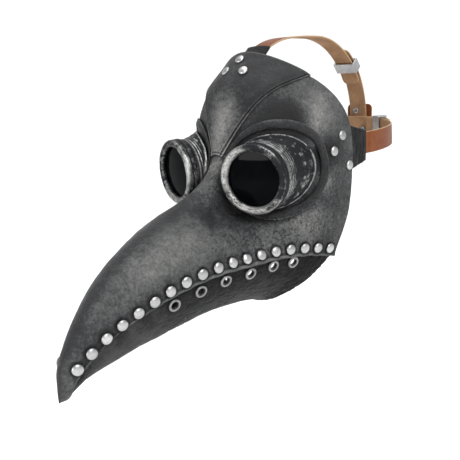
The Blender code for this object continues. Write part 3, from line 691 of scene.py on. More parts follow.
def dark_lens(name):
    """Smoked acrylic, with a little haze."""
    n = Nodes(name)
    haze = n.noise(9, detail=3)
    fill = n.mix(haze, (0.0005, 0.0007, 0.001), (0.0012, 0.0016, 0.0022))
    return n.set(Base_Color=fill, Roughness=n.ranged(haze, 0.3, 0.7, 0.02, 0.05), IOR=1.49,
                 Specular_IOR_Level=0.02)


def rubber(name):
    """Matt black rubber with a little dust."""
    n = Nodes(name)
    dust = n.noise(1.4, detail=4)
    fill = n.mix(dust, (0.012, 0.012, 0.012), (0.035, 0.035, 0.034))
    return n.set(Base_Color=fill, Roughness=n.ranged(dust, 0.3, 0.7, 0.7, 0.9), Normal=n.bump(dust, 0.1))


def tan_strap(name):
    """Vegetable-tanned strap: smooth grain, darker in the middle, lighter along its rubbed edges."""
    n = Nodes(name)
    grain = n.noise(1.0, detail=5, roughness=0.6)
    fibre = n.noise(9, detail=5, roughness=0.6, distortion=0.8)
    pores = n.cells(0.8)
    fill = n.ramp(n.total((fibre, 0.7), (grain, 0.3)), TAN_STOPS)
    edge = n.times(n.attribute("edge"), n.ranged(grain, 0.2, 0.6, 0.6, 1.0))
    return n.set(Base_Color=n.mix(edge, fill, (0.36, 0.24, 0.135)),
                 Roughness=n.ranged(grain, 0.3, 0.7, 0.38, 0.52),
                 Normal=n.bump(n.total((pores, 0.4), (grain, 0.7)), 0.2), Specular_IOR_Level=0.16)


def thread(name, colour):
    """Twisted thread."""
    n = Nodes(name)
    twist = n.noise(0.35, detail=2)
    fill = n.mix(twist, scaled(colour, 0.5), colour)
    return n.set(Base_Color=fill, Roughness=0.75, Normal=n.bump(twist, 0.1))


def paper(name):
    """Pale matt paper of the backdrop."""
    n = Nodes(name)
    fill = n.mix(n.noise(3, detail=3), (0.93, 0.93, 0.93), (0.96, 0.96, 0.96))
    return n.set(Base_Color=fill, Roughness=0.95, Specular_IOR_Level=0.1)


# Where the skin is most crackled, for either side, and the distances over which that fades, in metres
AGED_PLACE = (0.050, 0.085, 0.005)
AGED_REACH = (0.045, 0.085)
FACE_STOPS = [(0.0, (0.0035, 0.0036, 0.004)), (0.3, (0.016, 0.0165, 0.018)), (0.55, (0.062, 0.063, 0.063)),
              (0.8, (0.130, 0.129, 0.124)), (1.0, (0.21, 0.208, 0.20))]
DARK_STOPS = [(0.0, (0.002, 0.002, 0.0024)), (0.4, (0.0055, 0.0057, 0.0065)), (0.75, (0.014, 0.014, 0.015)),
              (1.0, (0.036, 0.036, 0.035))]
TAN_STOPS = [(0.25, (0.088, 0.025, 0.0075)), (0.5, (0.138, 0.041, 0.0125)), (0.75, (0.175, 0.057, 0.019))]

LEATHER = mask_leather("grey_leather", FACE_STOPS)
BLACK_LEATHER = mask_leather("black_leather_grain", DARK_STOPS, shine=(0.45, 0.6), gloss=0.13)
FLESH = flesh_side("leather_flesh_side", (0.020, 0.017, 0.015))
GREY_EDGE = cut_edge("grey_cut_edge", (0.065, 0.065, 0.063))
RIM_METAL = rubbed_metal("rubbed_rim", 0.60, (0.34, 0.34, 0.33), 0.11)
TUBE_METAL = rubbed_metal("rubbed_tube", 0.38, (0.33, 0.33, 0.325), 0.17)
EYELET_METAL = plated("eyelet_plate", (0.30, 0.30, 0.30))
STUD_METAL = plated("nickel_plate", (0.50, 0.50, 0.50), (0.27, 0.42))
SLIDER_METAL = plated("slider_steel", (0.46, 0.46, 0.47))
LENS = dark_lens("smoked_acrylic")
RUBBER = rubber("gasket_rubber_matt")
TAN = tan_strap("tan_strap_leather")
TAN_FLESH = flesh_side("tan_flesh_side", (0.20, 0.115, 0.062))
FACE_LOOKS = [LEATHER, FLESH, GREY_EDGE]
BLACK_LOOKS = [BLACK_LEATHER, FLESH, GREY_EDGE]
STRAP_LOOKS = [TAN, TAN_FLESH]
PAPER = paper("pale_paper")
DARK_THREAD = thread("dark_thread", (0.05, 0.05, 0.05))


# ---------------------------------------------------------------- places


def eye_axes(side):
    """Centre of the rim's front plane, the axis out of it, and two directions across."""
    label = "left" if side > 0 else "right"
    mount = next(m for m in frame["record"]["mounts"] if m["name"] == f"{label}_rim_face")
    out = unit(np.array(mount["axis"], float))
    across = unit(np.cross((0, 0, 1), out))
    return np.array(EYE_CENTRE) * (side, 1, 1), out, across, np.cross(out, across)


def travel(points):
    """How far along a line each of its points lies."""
    return np.concatenate([[0], np.cumsum(length(np.diff(points, axis=0)))])


def along(values, travelled, at):
    """Vectors given along a line, read between their points at other distances."""
    return np.array([np.interp(at, travelled, values[:, axis]) for axis in range(3)]).T


def mirrored(places):
    """The same (point, normal) places on the wearer's right."""
    return [(point * (-1, 1, 1), normal * (-1, 1, 1)) for point, normal in places]


def place_distance(points, places):
    """Distance from each point to the nearest of these places or of their mirror images."""
    found = np.full(points.shape[:-1], 1e9)
    for centre, _ in places + mirrored(places):
        found = np.minimum(found, length(points - centre))
    return found


def on_panel(places):
    """Points and normals on the outside of the forehead panel, at pairs of row and column."""
    return [(offset_face(row, column, GAP + SHELL_WALL), face_point(row, column)[1])
            for row, column in places]


def stud_places():
    """The left row of studs: one every STUD_PITCH along the line above the hem."""
    rows = np.linspace(1.2, 11, 260)
    edge, _ = net_at(FACE_NET, rows, 3.99)
    low, high = np.zeros(len(rows)), np.full(len(rows), 3.0)
    for _ in range(12):
        middle = (low + high) / 2
        far = length(net_at(FACE_NET, rows, 3.99 - middle)[0] - edge) > STUD_INSET
        high = np.where(far, middle, high)
        low = np.where(far, low, middle)
    points, normals = net_at(FACE_NET, rows, 3.99 - low)
    travelled = np.linalg.norm(points[0] - FACE_NET[0, 0]) + travel(points)
    wanted = STUD_FIRST + STUD_PITCH * np.arange(STUD_COUNT)
    return list(zip(along(points, travelled, wanted), unit(along(normals, travelled, wanted))))


STUDS = stud_places()


def eyelet_places():
    """The left row of eyelets, with normals that face out."""
    points, normals = net_at(LOWER_NET, [row for row, _ in EYELETS], [column for _, column in EYELETS])
    normals *= np.sign(normals[:, :1])
    return list(zip(points, normals))


EYELET_PLACES = eyelet_places()


# ---------------------------------------------------------------- goggle seats


def tube_radius(depth):
    """Outer radius of a tube's flare at a depth behind the front plane."""
    flare = np.maximum(0.0, depth - FLARE_START)
    return TUBE_R + 1.4 + 0.30 * flare + 0.0035 * flare**2


def shell_tree(moved=None):
    """The outer surface round the eyes, for finding places on it."""
    grid = net_grid(FACE_NET, np.linspace(5, 11, 150), np.linspace(-4, 4, 150))
    if moved:
        grid = grid + moved(grid)
    bm = bmesh.new()
    add_grid(bm, grid)
    bm.normal_update()
    tree = BVHTree.FromBMesh(bm)
    bm.free()
    return tree


def base_depth(tree, axes, turn, inset):
    """How far behind the front plane the flaring wall meets the shell at one angle."""
    centre, out, across, up = axes
    ring = math.cos(turn) * across + math.sin(turn) * up
    last = centre + ring * (tube_radius(0) - inset)
    for depth in np.arange(1.0, DEEPEST_FOOT, 1.0):
        point = centre - out * depth + ring * (tube_radius(depth) - inset)
        step = Vector(point - last)
        hit = tree.ray_cast(Vector(last), step.normalized(), step.length)
        if hit[0] is not None:
            slope = max(0.25, abs(hit[1].dot(Vector(out))))
            travelled = (hit[0] - Vector(last)).length / step.length
            return depth - 1.0 + travelled - FOOT_GAP - FOOT_SLOPE_GAP / slope
        last = point
    return TUBE_LENGTH


def smoothed_round(values, width):
    """A closed run of numbers, averaged over a few neighbours."""
    values = np.asarray(values, float)
    shares = {shift: bell(shift, width) for shift in range(-2 * width, 2 * width + 1)}
    total = sum(np.roll(values, shift, axis=0) * share for shift, share in shares.items())
    return total / sum(shares.values())


def harmonics(values, count):
    """A closed run of numbers with only its slowest waves kept."""
    waves = np.fft.rfft(np.asarray(values, float))
    waves[count + 1:] = 0
    return np.fft.irfft(waves, len(values))


def foot_depths(tree, side, inset=0.0):
    """Where the flaring wall meets the skin round an eye: as found, and as one even curve."""
    axes = eye_axes(side)
    found = smoothed_round([base_depth(tree, axes, turn, inset) for turn in TURNS], 2)
    return found, harmonics(found, 3)


def round_eye(side, radius, depth):
    """Points round an eye's axis at each of TURNS, from radii and depths behind the front plane."""
    centre, out, across, up = eye_axes(side)
    ring = np.cos(TURNS)[:, None] * across + np.sin(TURNS)[:, None] * up
    return centre + ring * np.asarray(radius)[..., None] - out * np.asarray(depth)[..., None]


TURNS = np.linspace(0, 2 * math.pi, 144, endpoint=False)
PLAIN_TREE = shell_tree()
FEET = {side: foot_depths(PLAIN_TREE, side) for side, _ in SIDES}


def eye_place(points, side):
    """Angle round an eye's axis, distance from the axis and distance ahead of the rim's front."""
    centre, out, across, up = eye_axes(side)
    away = points - centre
    x, y = away @ across, away @ up
    return np.arctan2(y, x), np.hypot(x, y), away @ out


def round_values(values, turn):
    """Values given at each of TURNS, read at other angles."""
    return np.interp(turn, TURNS, values, period=2 * math.pi)


def socket_shift(points):
    """How far to move points of the skin so that both goggles stand on an even ring."""
    shift = np.zeros(points.shape)
    for side, (found, even) in FEET.items():
        turn, radius, ahead = eye_place(points, side)
        edge, foot = round_values(tube_radius(even), turn), round_values(even, turn)
        near = bell(radius - edge - 2, 10) * bell(ahead + foot, 18)
        shift = shift + (round_values(found - even, turn) * near)[..., None] * eye_axes(side)[1]
    return shift


# ---------------------------------------------------------------- skins


def seat_distance(points, side):
    """Distance of points from the foot of an eye's tube."""
    turn, radius, ahead = eye_place(points, side)
    even = FEET[side][1]
    return np.hypot(radius - round_values(tube_radius(even), turn), ahead + round_values(even, turn))


def panel_half_width(row):
    """Columns from the ridge to the forehead panel's side seam."""
    return catmull(PANEL_SEAM, (np.asarray(row) - PANEL_START) / PANEL_SEAM_STEP)[:, 0]


WEAR_AND_SHADE_SPOTS = (
    # place on the left half, radius, and how much lighter or darker: worn and airbrushed tone, with painted
    # shade in some of the dark spots
    ((64, -42, 74), 13, 0.24),
    ((67, -54, 57), 15, 0.30),
    ((70, -62, 36), 12, 0.16),
    ((74, -42, 35), 13, -0.52),
    ((73, -51, 11), 10, 0.50),
    ((75, -36, -4), 16, -0.14),
    ((63, -72, -18), 15, 0.16),
    ((68, -58, -30), 17, 0.14),
    ((50, -100, -37), 16, 0.16),
    ((67, -61, -34), 15, 0.10),
    ((34, -140, -36), 18, 0.10),
    ((29, -175, -31), 24, 0.16),
    ((21, -206, -44), 22, 0.18),
    ((14, -240, -66), 16, 0.04),
    ((17, -243, -88), 15, -0.14),
    ((28, -205, -70), 12, -0.10),
    ((3, -128, 4), 12, 0.10),
    ((3, -110, 24), 9, 0.36),
    ((72, -44, -48), 18, -0.26),
    # Painted shade: the dark fold at the collar's upper edge and the band between the panel seam and the
    # goggle
    ((54, -71, 62), 11, -0.70),
    ((38, -84, 62), 15, -0.36),
    ((46, -76, 74), 12, -0.26),
    # Airbrushed black with painted shade on the nasal side, between the eye and the beak, in the next four
    # spots
    ((27, -94, 42), 12, -0.30),
    ((18, -114, -3), 12, -0.34),
    ((26, -110, -16), 13, -0.34),
    ((18, -140, -11), 17, -0.20),
    ((10, -262, -90), 16, -0.10),
    # Painted shade at the collar's upper edge
    ((60, -72, 46), 8, -0.14),
)


def face_wear_and_shade(points, rows, columns):
    """How light the skin is, from black at 0 to worn pale grey at 1, with painted shade worked in."""
    folded = points.copy()
    folded[..., 0] = np.abs(folded[..., 0])
    wear_and_shade = np.full(points.shape[:-1], 0.47)
    for centre, radius, amount in WEAR_AND_SHADE_SPOTS:
        wear_and_shade = wear_and_shade + amount * bell(length(folded - np.array(centre)), radius)
    wear_and_shade = wear_and_shade - 0.24 * bell(np.abs(columns), 0.8) * smooth_step(7.0, 6.0, rows)
    # Darker round the tube feet: airbrushed black, with painted shade where the skin meets the tubes.
    eye = np.minimum(*(seat_distance(points, side) for side, _ in SIDES))
    wear_and_shade = wear_and_shade - 0.32 * smooth_step(15.5, 8.5, eye) * smooth_step(1, 12, folded[..., 0])
    # Darker just above the hem along the beak: airbrushed black, partly painted shade.
    hem = 4 - np.abs(columns)
    wear_and_shade = wear_and_shade - 0.16 * bell(hem - 0.75, 0.5) * smooth_step(8.0, 4.0, rows)
    # Painted shade: a dark ring in the dimple round each stud.
    return wear_and_shade - 0.45 * bell(place_distance(points, STUDS) - STUD_R, 1.5)


def stud_dimples(points):
    """How far the skin is pressed in round each stud, and swells beyond that."""
    away = place_distance(points, STUDS)
    return waves(away, (-0.45, 4.9, 1.0), (0.22, 7.4, 1.1))


def make_face_skin():
    """The face and upper beak: a moulded skin with creases, stud dimples and a lipped hem."""
    rows = np.concatenate([np.linspace(0, 2, 24), np.linspace(2, 7, 100)[1:], np.linspace(7, 11, 124)[1:]])
    half = np.linspace(0, 1, 96)
    half = 4 * (0.62 * half + 0.38 * np.sin(half * math.pi / 2))
    columns = np.concatenate([-half[:0:-1], half])
    grid = net_grid(FACE_NET, rows, columns)
    grid = grid + socket_shift(grid)
    normals = grid_normals(grid)
    row_of, column_of = np.meshgrid(rows, columns, indexing="ij")

    edge = grid[:, -1:]
    from_hem = length(grid - np.where(column_of[..., None] > 0, edge, grid[:, :1]))
    swell = 0.30 * cloudy(grid, 22, 2) + 0.12 * cloudy(grid, 7, 2, 5.0)
    eye = np.minimum(*(eye_place(grid, side)[1] for side, _ in SIDES))
    puckers = bell(eye - 47, 13) * smooth_step(10.5, 9, row_of) * smooth_step(0.8, 1.6, np.abs(column_of))
    fine = cloudy(grid * (1, 1, 2.4), 9, 3, 11.0)
    swell = swell - 0.55 * puckers * smooth_step(0.0, 0.45, 1 - np.abs(fine) * 4)
    lip = 0.42 * smooth_step(HEM_LIP + 0.5, HEM_LIP - 0.5, from_hem)
    lip = lip - 0.38 * bell(from_hem - HEM_LIP - 0.8, 0.8)
    swell = swell + lip * smooth_step(0.8, 2.0, row_of) + stud_dimples(grid)
    under_panel = smooth_step(PANEL_START - 0.1, PANEL_START, row_of)
    under_panel = under_panel * smooth_step(0.06, 0.0, np.abs(column_of) - panel_half_width(rows)[:, None])
    swell = np.where(under_panel > 0, np.minimum(swell, 0) - 0.25 * under_panel, swell)
    swell = np.where(eye < 45, np.minimum(swell, 0.1), swell)
    # Lighter on the hem's lip, with painted shade in the groove just behind it.
    hem_lip_and_shade = waves(from_hem, (0.18, 1.1, 1.1), (-0.30, HEM_LIP + 0.8, 0.7))
    wear_and_shade = face_wear_and_shade(grid, row_of, column_of) + smooth_step(1.5, 2.6, row_of) * hem_lip_and_shade
    grid = grid + normals * (swell * smooth_step(0.5, 3.0, row_of))[..., None]

    reach = length(grid - FACE_NET[0, 0])
    walls = SHELL_WALL * np.clip(reach / TIP_TAPER, 0.1, 1.0)
    skin = leather_sheet("face_skin", grid, walls, FACE_LOOKS, {"wear_and_shade": wear_and_shade})
    eyes = [eye_axes(side)[:2] for side, _ in SIDES]
    cut(skin, cutter_of("eye_cutter", eyes, EYE_HOLE_R, above=-10, below=75, segments=96),
        cutter_of("stud_cutter", STUDS + mirrored(STUDS), SHANK_HOLE_R, above=2, below=7, segments=10))
    return part_of_frame(skin, ["face_shell"])


def make_forehead():
    """The panel over the forehead, piped and stitched along both side seams."""
    rows = np.linspace(PANEL_START, 11, 120)
    share = np.linspace(-1, 1, 113)
    share = np.sign(share) * (1 - (1 - np.abs(share)) ** 1.7)
    row_of = np.repeat(rows[:, None], len(share), axis=1)
    column_of = panel_half_width(rows)[:, None] * share[None]
    base, normals = net_at(FACE_NET, row_of, column_of)
    base = base + socket_shift(base)
    edge = np.where(share[None, :, None] > 0, base[:, -1:], base[:, :1])
    from_side = length(base - edge)
    from_foot = length(base - base[:1])
    swell = 0.22 * cloudy(base, 24, 2, 3.0) + 0.10 * cloudy(base, 6, 2, 7.0)
    folds = cloudy(base * (0.55, 1, 1.9), 10, 3, 21.0)
    fold_zone = bell(base[..., 2] - 78, 17) * smooth_step(46, 20, np.abs(base[..., 0]))
    swell = swell - 0.42 * fold_zone * smooth_step(0.0, 0.4, 1 - np.abs(folds) * 5)
    for distance in (from_side, from_foot):
        swell = swell + waves(distance, (0.50, 0.7, 0.55), (-0.55, 2.0, 0.6), (0.35, 3.3, 0.55))
    from_top = length(base - base[-1:])
    swell = np.maximum(swell, -0.9) * smooth_step(0.0, 4.0, from_top)
    wall = SHELL_WALL * (1 - 0.5 * bell(from_side, 4.5))
    grid = base + normals * (GAP + wall + swell * 0.9)[..., None]
    across, height = base[..., 0], base[..., 2]
    wear_and_shade = 0.35 + 0.36 * smooth_step(92, 66, height) * bell(across, 15)
    wear_and_shade = wear_and_shade + 0.16 * bell(length(base - (4, -94, 62)), 15)
    wear_and_shade = wear_and_shade - 0.10 * smooth_step(5, 14, np.abs(across)) * smooth_step(60, 80, height)
    # Painted shade along the side seams, and lighter towards the panel's foot.
    wear_and_shade = wear_and_shade - 0.12 * bell(from_side - 5, 4) + 0.14 * smooth_step(60, 36, height)
    # Lighter on the piping, with painted shade in the groove between its beads.
    for distance in (from_side, from_foot):
        wear_and_shade = wear_and_shade + waves(distance, (-0.30, 2.0, 0.7), (0.32, 0.6, 0.5), (0.16, 3.3, 0.5))
    # Painted shade in the folds.
    wear_and_shade = wear_and_shade - 0.12 * fold_zone * smooth_step(0.3, 0.7, 1 - np.abs(folds) * 5)
    wear_and_shade = wear_and_shade + 0.30 * bell(from_top - 0.6, 0.6)
    panel = leather_sheet("forehead_skin", grid, wall, FACE_LOOKS, {"wear_and_shade": wear_and_shade})
    places = on_panel(TOP_RIVETS)
    cut(panel, cutter_of("top_rivet_cutter", places, SHANK_HOLE_R, above=4, below=6, segments=12))
    return part_of_frame(panel, ["forehead_panel"])


def make_lower_skin():
    """The vented skin under the beak, tucked up behind the hem."""
    rows = np.linspace(0.4, 9, 170)
    columns = np.linspace(-4, 4, 129)
    grid = net_grid(LOWER_NET, rows, columns)[:, ::-1]
    share = np.linspace(0, 1, 24)[:-1]
    nose = np.linspace(LOWER_NOSE, np.array(LOWER_NOSE) + (0, 0, 1.2), 65)
    nose = np.concatenate([nose[::-1], nose[1:]])
    gather = (share ** 0.7)[:, None, None]
    front = nose * (1 - gather) + grid[0] * gather
    grid = np.concatenate([front, grid])
    rows = np.concatenate([0.4 * share, rows])
    normals = grid_normals(grid)
    row_of, column_of = np.meshgrid(rows, columns[::-1], indexing="ij")
    shown = smooth_step(3.05, 2.8, np.abs(column_of))
    swell = 0.35 * cloudy(grid, 17, 2, 31.0) - 0.1
    folds = cloudy(grid * (1.5, 0.45, 1.5), 9, 3, 41.0)
    swell = swell - 0.45 * smooth_step(0.0, 0.4, 1 - np.abs(folds) * 5) * smooth_step(1.2, 3.0, row_of)
    away = place_distance(grid, EYELET_PLACES)
    swell = np.where(away < 7.5, swell * smooth_step(5.8, 7.5, away), swell)
    swell = swell * smooth_step(0.4, 1.4, row_of)
    grid = grid + normals * (np.minimum(swell, 0.25) * shown)[..., None]
    wear_and_shade = 0.32 + 0.2 * cloudy(grid, 15, 3, 51.0) + 0.60 * smooth_step(4.0, 1.5, row_of)
    # Painted shade: darker towards the throat, in a ring round each eyelet and where the panel tucks up
    # under the hem.
    wear_and_shade = wear_and_shade - 0.28 * smooth_step(4, 8, row_of)
    wear_and_shade = wear_and_shade - 0.4 * bell(away - 5.6, 1.4) - 0.3 * smooth_step(2.5, 3.0, np.abs(column_of))
    skin = leather_sheet("lower_beak_skin", grid, PANEL_WALL, BLACK_LOOKS, {"wear_and_shade": wear_and_shade})
    places = EYELET_PLACES + mirrored(EYELET_PLACES)
    cut(skin, cutter_of("eyelet_cutter", places, EYELET_HOLE_R, above=4, below=4, segments=24))
    return part_of_frame(skin, ["lower_beak_panel"])


def add_stitches(bm, points, normals, stitch, radius):
    """Short rounded threads laid end to end along a line of points."""
    travelled = travel(points)
    pitch = stitch * 1.35
    share = np.linspace(0, 1, 7)
    lift = radius * (2.2 * np.sin(math.pi * share) - 0.9)
    for start in np.arange(pitch / 2, travelled[-1] - stitch, pitch):
        at = start + stitch * share
        line = along(points, travelled, at) + along(normals, travelled, at) * lift[:, None]
        add_rod(bm, line, radius)


def add_rod(bm, line, radius, sides=6):
    """A thin round rod along a line, closed at both ends."""
    ways = np.gradient(line, axis=0)
    rings = [turned(point, way, [(radius, 0.0)], sides)[0] for point, way in zip(line, ways)]
    add_capped(bm, np.array(rings))


def make_stitching():
    """Thread along the forehead panel's seams and the short seam between the eyes."""
    bm = bmesh.new()
    lift = GAP + SHELL_WALL - STITCH_SINK
    rows = np.linspace(PANEL_START + 0.04, 10.92, 120)
    half = panel_half_width(rows)
    step = net_at(FACE_NET, rows, half)[0] - net_at(FACE_NET, rows, half - 0.1)[0]
    inset = 2.6 / np.maximum(length(step) / 0.1, 1e-6)
    for side, _ in SIDES:
        points, normals = net_at(FACE_NET, rows, (half - inset) * side)
        add_stitches(bm, points + normals * lift, normals, 2.4, THREAD_R)
    points, normals = net_at(FACE_NET, PANEL_START + 0.10, np.linspace(-0.27, 0.27, 30))
    add_stitches(bm, points + normals * lift, normals, 2.2, THREAD_R)
    piece = object_of("forehead_stitching", bm, [DARK_THREAD])
    return part_of_frame(piece, [])


# ---------------------------------------------------------------- goggles


def make_eye_tube(side, label):
    """Hammered metal tube: grooved bands behind the rim, then a flare down to a beaded foot."""
    inner_end = foot_depths(PLAIN_TREE, side, TUBE_WALL)[1]
    inner_r = TUBE_R - TUBE_WALL
    lead = round_profile([(inner_r, 8.6), (inner_r, 8.3), (TUBE_R, 8.3), (TUBE_R, 12.5), (28.3, 12.8),
                          (28.7, 13.7), (28.2, 14.6), (27.0, 15.0), (27.4, 15.8)], 0.4, 2)
    lead = np.repeat(np.array(lead)[:, :, None], len(TURNS), axis=2)
    reach = FEET[side][1] - FOOT_TRIM - FLARE_START
    share = np.linspace(0.03, 1, 46)[:, None]
    from_start = reach * share
    to_foot = reach - from_start
    ridge = sum(height * bell(from_start - stop, 0.6) for stop, height in BANDS)
    groove = 0.5 * bell(to_foot - 2.6, 0.8)
    bead = 0.65 * bell(to_foot - 0.9, 0.75)
    fade = np.minimum(1.0, reach / 12)
    facing = bell((np.degrees(TURNS) + 190) % 360 - 180, 55)
    back = FLARE_START + (inner_end - FLARE_START) * np.linspace(1, 0.02, 14)[:, None]
    depth = np.concatenate([lead[:, 1], FLARE_START + from_start, back])
    radius = np.concatenate([
        lead[:, 0], tube_radius(FLARE_START + from_start) + (ridge * fade + bead - groove) * fade,
        tube_radius(back) - TUBE_WALL - 0.4])
    raised = np.concatenate([
        np.full(lead[:, 0].shape, 0.5),
        1.7 * ridge + 1.1 * bead - groove + 0.38 * facing * bell(share - 0.7, 0.2), np.zeros(back.shape)])
    grid = round_eye(side, radius, depth)
    flare = np.zeros(grid.shape[:2])
    steps = np.linspace(0, 1, len(share))[:, None]
    flare[len(lead):len(lead) + len(share)] = smooth_step(0.2, 0.5, steps) * smooth_step(1.0, 0.9, steps)
    bumps = bell(cells(grid, 4.6, 3.0), 0.30)
    hammered = 0.75 * bumps - 0.3 + 0.25 * cloudy(grid, 4, 2, 9.0)
    outward = round_eye(side, 1.0, 0.0) - round_eye(side, 0.0, 0.0)
    grid = grid + outward * (hammered * flare)[..., None]
    raised = raised + flare * (0.95 * bumps - 0.25)
    tube = tube_of(f"{label}_hammered_tube", grid, [TUBE_METAL], {"raised": raised})
    return part_of_frame(tube, [f"{label}_eye_tube"])


def creep(tree, place, normal, ring, step):
    """The surface point reached by moving over the surface from place, outwards along ring."""
    way = Vector(ring) - normal * Vector(ring).dot(normal)
    place, normal, _, _ = tree.find_nearest(place + way.normalized() * step)
    return place, normal


def make_eye_collar(tree, side, label):
    """Moulded leather ring round the tube's foot, swelling in the middle and lipped at its rim."""
    out = eye_axes(side)[1]
    stops = 9
    columns, normals = [], []
    rings = round_eye(side, 1.0, 0.0) - round_eye(side, 0.0, 0.0)
    starts = round_eye(side, tube_radius(FEET[side][1]), FEET[side][1])
    for ring, start in zip(rings, starts):
        nasal = max(0.0, -side * float(ring[0]))
        step = COLLAR_WIDTH * (1 - 0.65 * nasal) / (stops - 1)
        place, normal, _, _ = tree.find_nearest(Vector(start))
        leaning = max(0.0, -normal.dot(Vector(ring)))
        place, normal = creep(tree, place, normal, ring, COLLAR_START + 1.6 * nasal + 5.5 * leaning)
        line, facings = [], []
        for _ in range(stops):
            facing = normal if normal.dot(Vector(out)) > 0 else -normal
            line.append(np.array(place))
            facings.append(np.array(facing))
            place, normal = creep(tree, place, normal, ring, step)
        columns.append(line)
        normals.append(facings)
    line, facing = smoothed_round(columns, 2), unit(smoothed_round(normals, 3))
    share = np.linspace(0, 1, stops)
    swell = 0.4 + 1.5 * np.sin(np.clip(share * 1.1, 0, 1) * math.pi) ** 0.8 * (1 - 0.4 * share)
    swell = swell + 0.75 * bell(share - 0.93, 0.09)
    thick = swell[None] * (1 - 0.5 * np.maximum(0.0, -side * rings[:, 0]))[:, None]
    thick = thick * 0.85 + 0.22 * cloudy(line, 5, 2, 2.0)
    upper = line + facing * (COLLAR_LIFT + 0.25 + thick)[..., None]
    lower = line + facing * COLLAR_LIFT
    grid = np.swapaxes(np.concatenate([lower, upper[:, ::-1]], axis=1), 0, 1)
    # Lighter on the outer lip; darker towards the tube: airbrushed black with painted shade.
    collar_wear_and_shade = 0.30 + 0.22 * bell(share - 0.95, 0.1) - 0.16 * (1 - share)
    wear_and_shade = np.repeat(np.concatenate([np.zeros(stops), collar_wear_and_shade[::-1]])[:, None], len(TURNS), axis=1)
    collar = tube_of(f"{label}_moulded_collar", grid, [LEATHER], {"wear_and_shade": wear_and_shade})
    return part_of_frame(collar, [f"{label}_eye_collar"])


def make_ring(name, side, profile, look, raised=None, lumps=0.0):
    """A ring about the eye axis; the profile is (radius, depth behind the front plane)."""
    out = eye_axes(side)[1]
    radii, depths = np.array(profile).T[..., None]
    grid = round_eye(side, radii, depths)
    if lumps:
        grid = grid + (cloudy(grid, 8, 2, 4.0) * lumps)[..., None] * out
        away = grid - grid.mean(axis=(0, 1))
        away = unit(away - (away @ out)[..., None] * out)
        grid = grid + (cloudy(grid, 9, 2, 14.0) * lumps)[..., None] * away
    values = {} if raised is None else {"raised": raised}
    return tube_of(name, grid, [look], values)


def make_bezel(side, label):
    """Cast rim: a flat front land with softened edges and two grooves round its side."""
    corners = [(23.0, 4.2), (23.0, 2.2), (24.3, 0.5), (25.0, 0.05), (27.6, 0.05), (28.9, 0.9),
               (BEZEL_R, 2.6), (BEZEL_R, 4.6), (28.9, 5.1), (28.9, 5.7), (29.5, 6.2), (29.5, 9.0),
               (28.8, 10.6), (27.8, 11.8), (26.35, 11.9), (26.35, 4.2), (23.0, 4.2)]
    profile = round_profile(corners, 0.5, 3)[:-1]
    raised = np.array([0.22 * bell(depth - 0.4, 0.9) - 0.5 * bell(depth - 5.4, 0.7)
                       - 0.2 * smooth_step(3, 9, depth) + 0.40 * bell(radius - 23.6, 0.6)
                       + 0.30 * bell(radius - 29.0, 0.5) * bell(depth - 1.2, 1.2)
                       for radius, depth in profile])
    worn = np.zeros(len(TURNS))
    for degrees, spread, amount in RIM_WEAR[side]:
        worn = worn + amount * bell((np.degrees(TURNS) - degrees + 180) % 360 - 180, spread)
    raised = raised[:, None] + worn[None]
    rim = make_ring(f"{label}_cast_rim", side, profile, RIM_METAL, raised, lumps=0.22)
    return part_of_frame(rim, [f"{label}_bezel"])


def make_lens(side, label):
    """A slightly domed disc."""
    centre, out, _, _ = eye_axes(side)
    radii = np.linspace(LENS_R - 0.2, 0.6, 22)
    front = [(radius, -LENS_FRONT + LENS_DOME * (1 - (radius / LENS_R) ** 2)) for radius in radii]
    back = [(radius, -LENS_BACK) for radius in radii[::-1]]
    profile = [*back, (LENS_R, 0.2 - LENS_BACK), (LENS_R, -LENS_FRONT - 0.2), *front]
    lens = tube_of(f"{label}_smoked_lens", turned(centre, out, profile, 96), [LENS], caps=True)
    return part_of_frame(lens, [f"{label}_lens"])


def make_gasket(side, label):
    """The rubber ring that holds the lens against the rim."""
    low, high = GASKET_RADII
    front, back = GASKET_DEPTHS
    middle = (low, front + 0.45)
    corners = [middle, (low, front), (high, front), (high, back), (low, back), middle]
    profile = round_profile(corners, 0.35, 3)[:-1]
    ring = make_ring(f"{label}_gasket_ring", side, profile, RUBBER)
    return part_of_frame(ring, [f"{label}_lens_gasket"])


def make_goggles():
    """Both goggles, each as a tube, a collar, a rim, a lens and a gasket."""
    tree = shell_tree(socket_shift)
    for side, label in SIDES:
        make_eye_tube(side, label)
        make_eye_collar(tree, side, label)
        make_bezel(side, label)
        make_lens(side, label)
        make_gasket(side, label)


# ---------------------------------------------------------------- studs, rivets and eyelets


def dome_profile(radius, height, shank, reach, washer=0.0):
    """A domed head, its turned-under rim, the shank and, on a rivet, a washer at its end."""
    turns = np.radians(np.linspace(4, 80, 9))
    profile = [(radius * math.sin(turn), 0.5 + (height - 0.5) * math.cos(turn) ** 0.85) for turn in turns]
    profile += [(radius, 0.55), (radius * 0.97, 0.22), (radius * 0.8, 0.12), (shank, 0.1), (shank, -reach)]
    if washer:
        profile += [(washer, -reach), (washer + 0.1, -reach - 0.3), (washer, -reach - 0.8),
                    (0.8, -reach - 0.9)]
    return profile


def add_dome(bm, point, normal, profile, radius):
    """Adds a turned head whose painted shade grows towards its rim; what lies below the skin gets half."""
    painted_shade = [0.75 * smooth_step(0.86, 1.0, r / radius) * smooth_step(0.9, 0.5, h) if h > 0 else 0.5
            for r, h in profile]
    values = {"painted_shade": np.repeat(np.array(painted_shade)[:, None], DOME_SIDES, axis=1)}
    add_capped(bm, turned(point, normal, profile, DOME_SIDES), values)


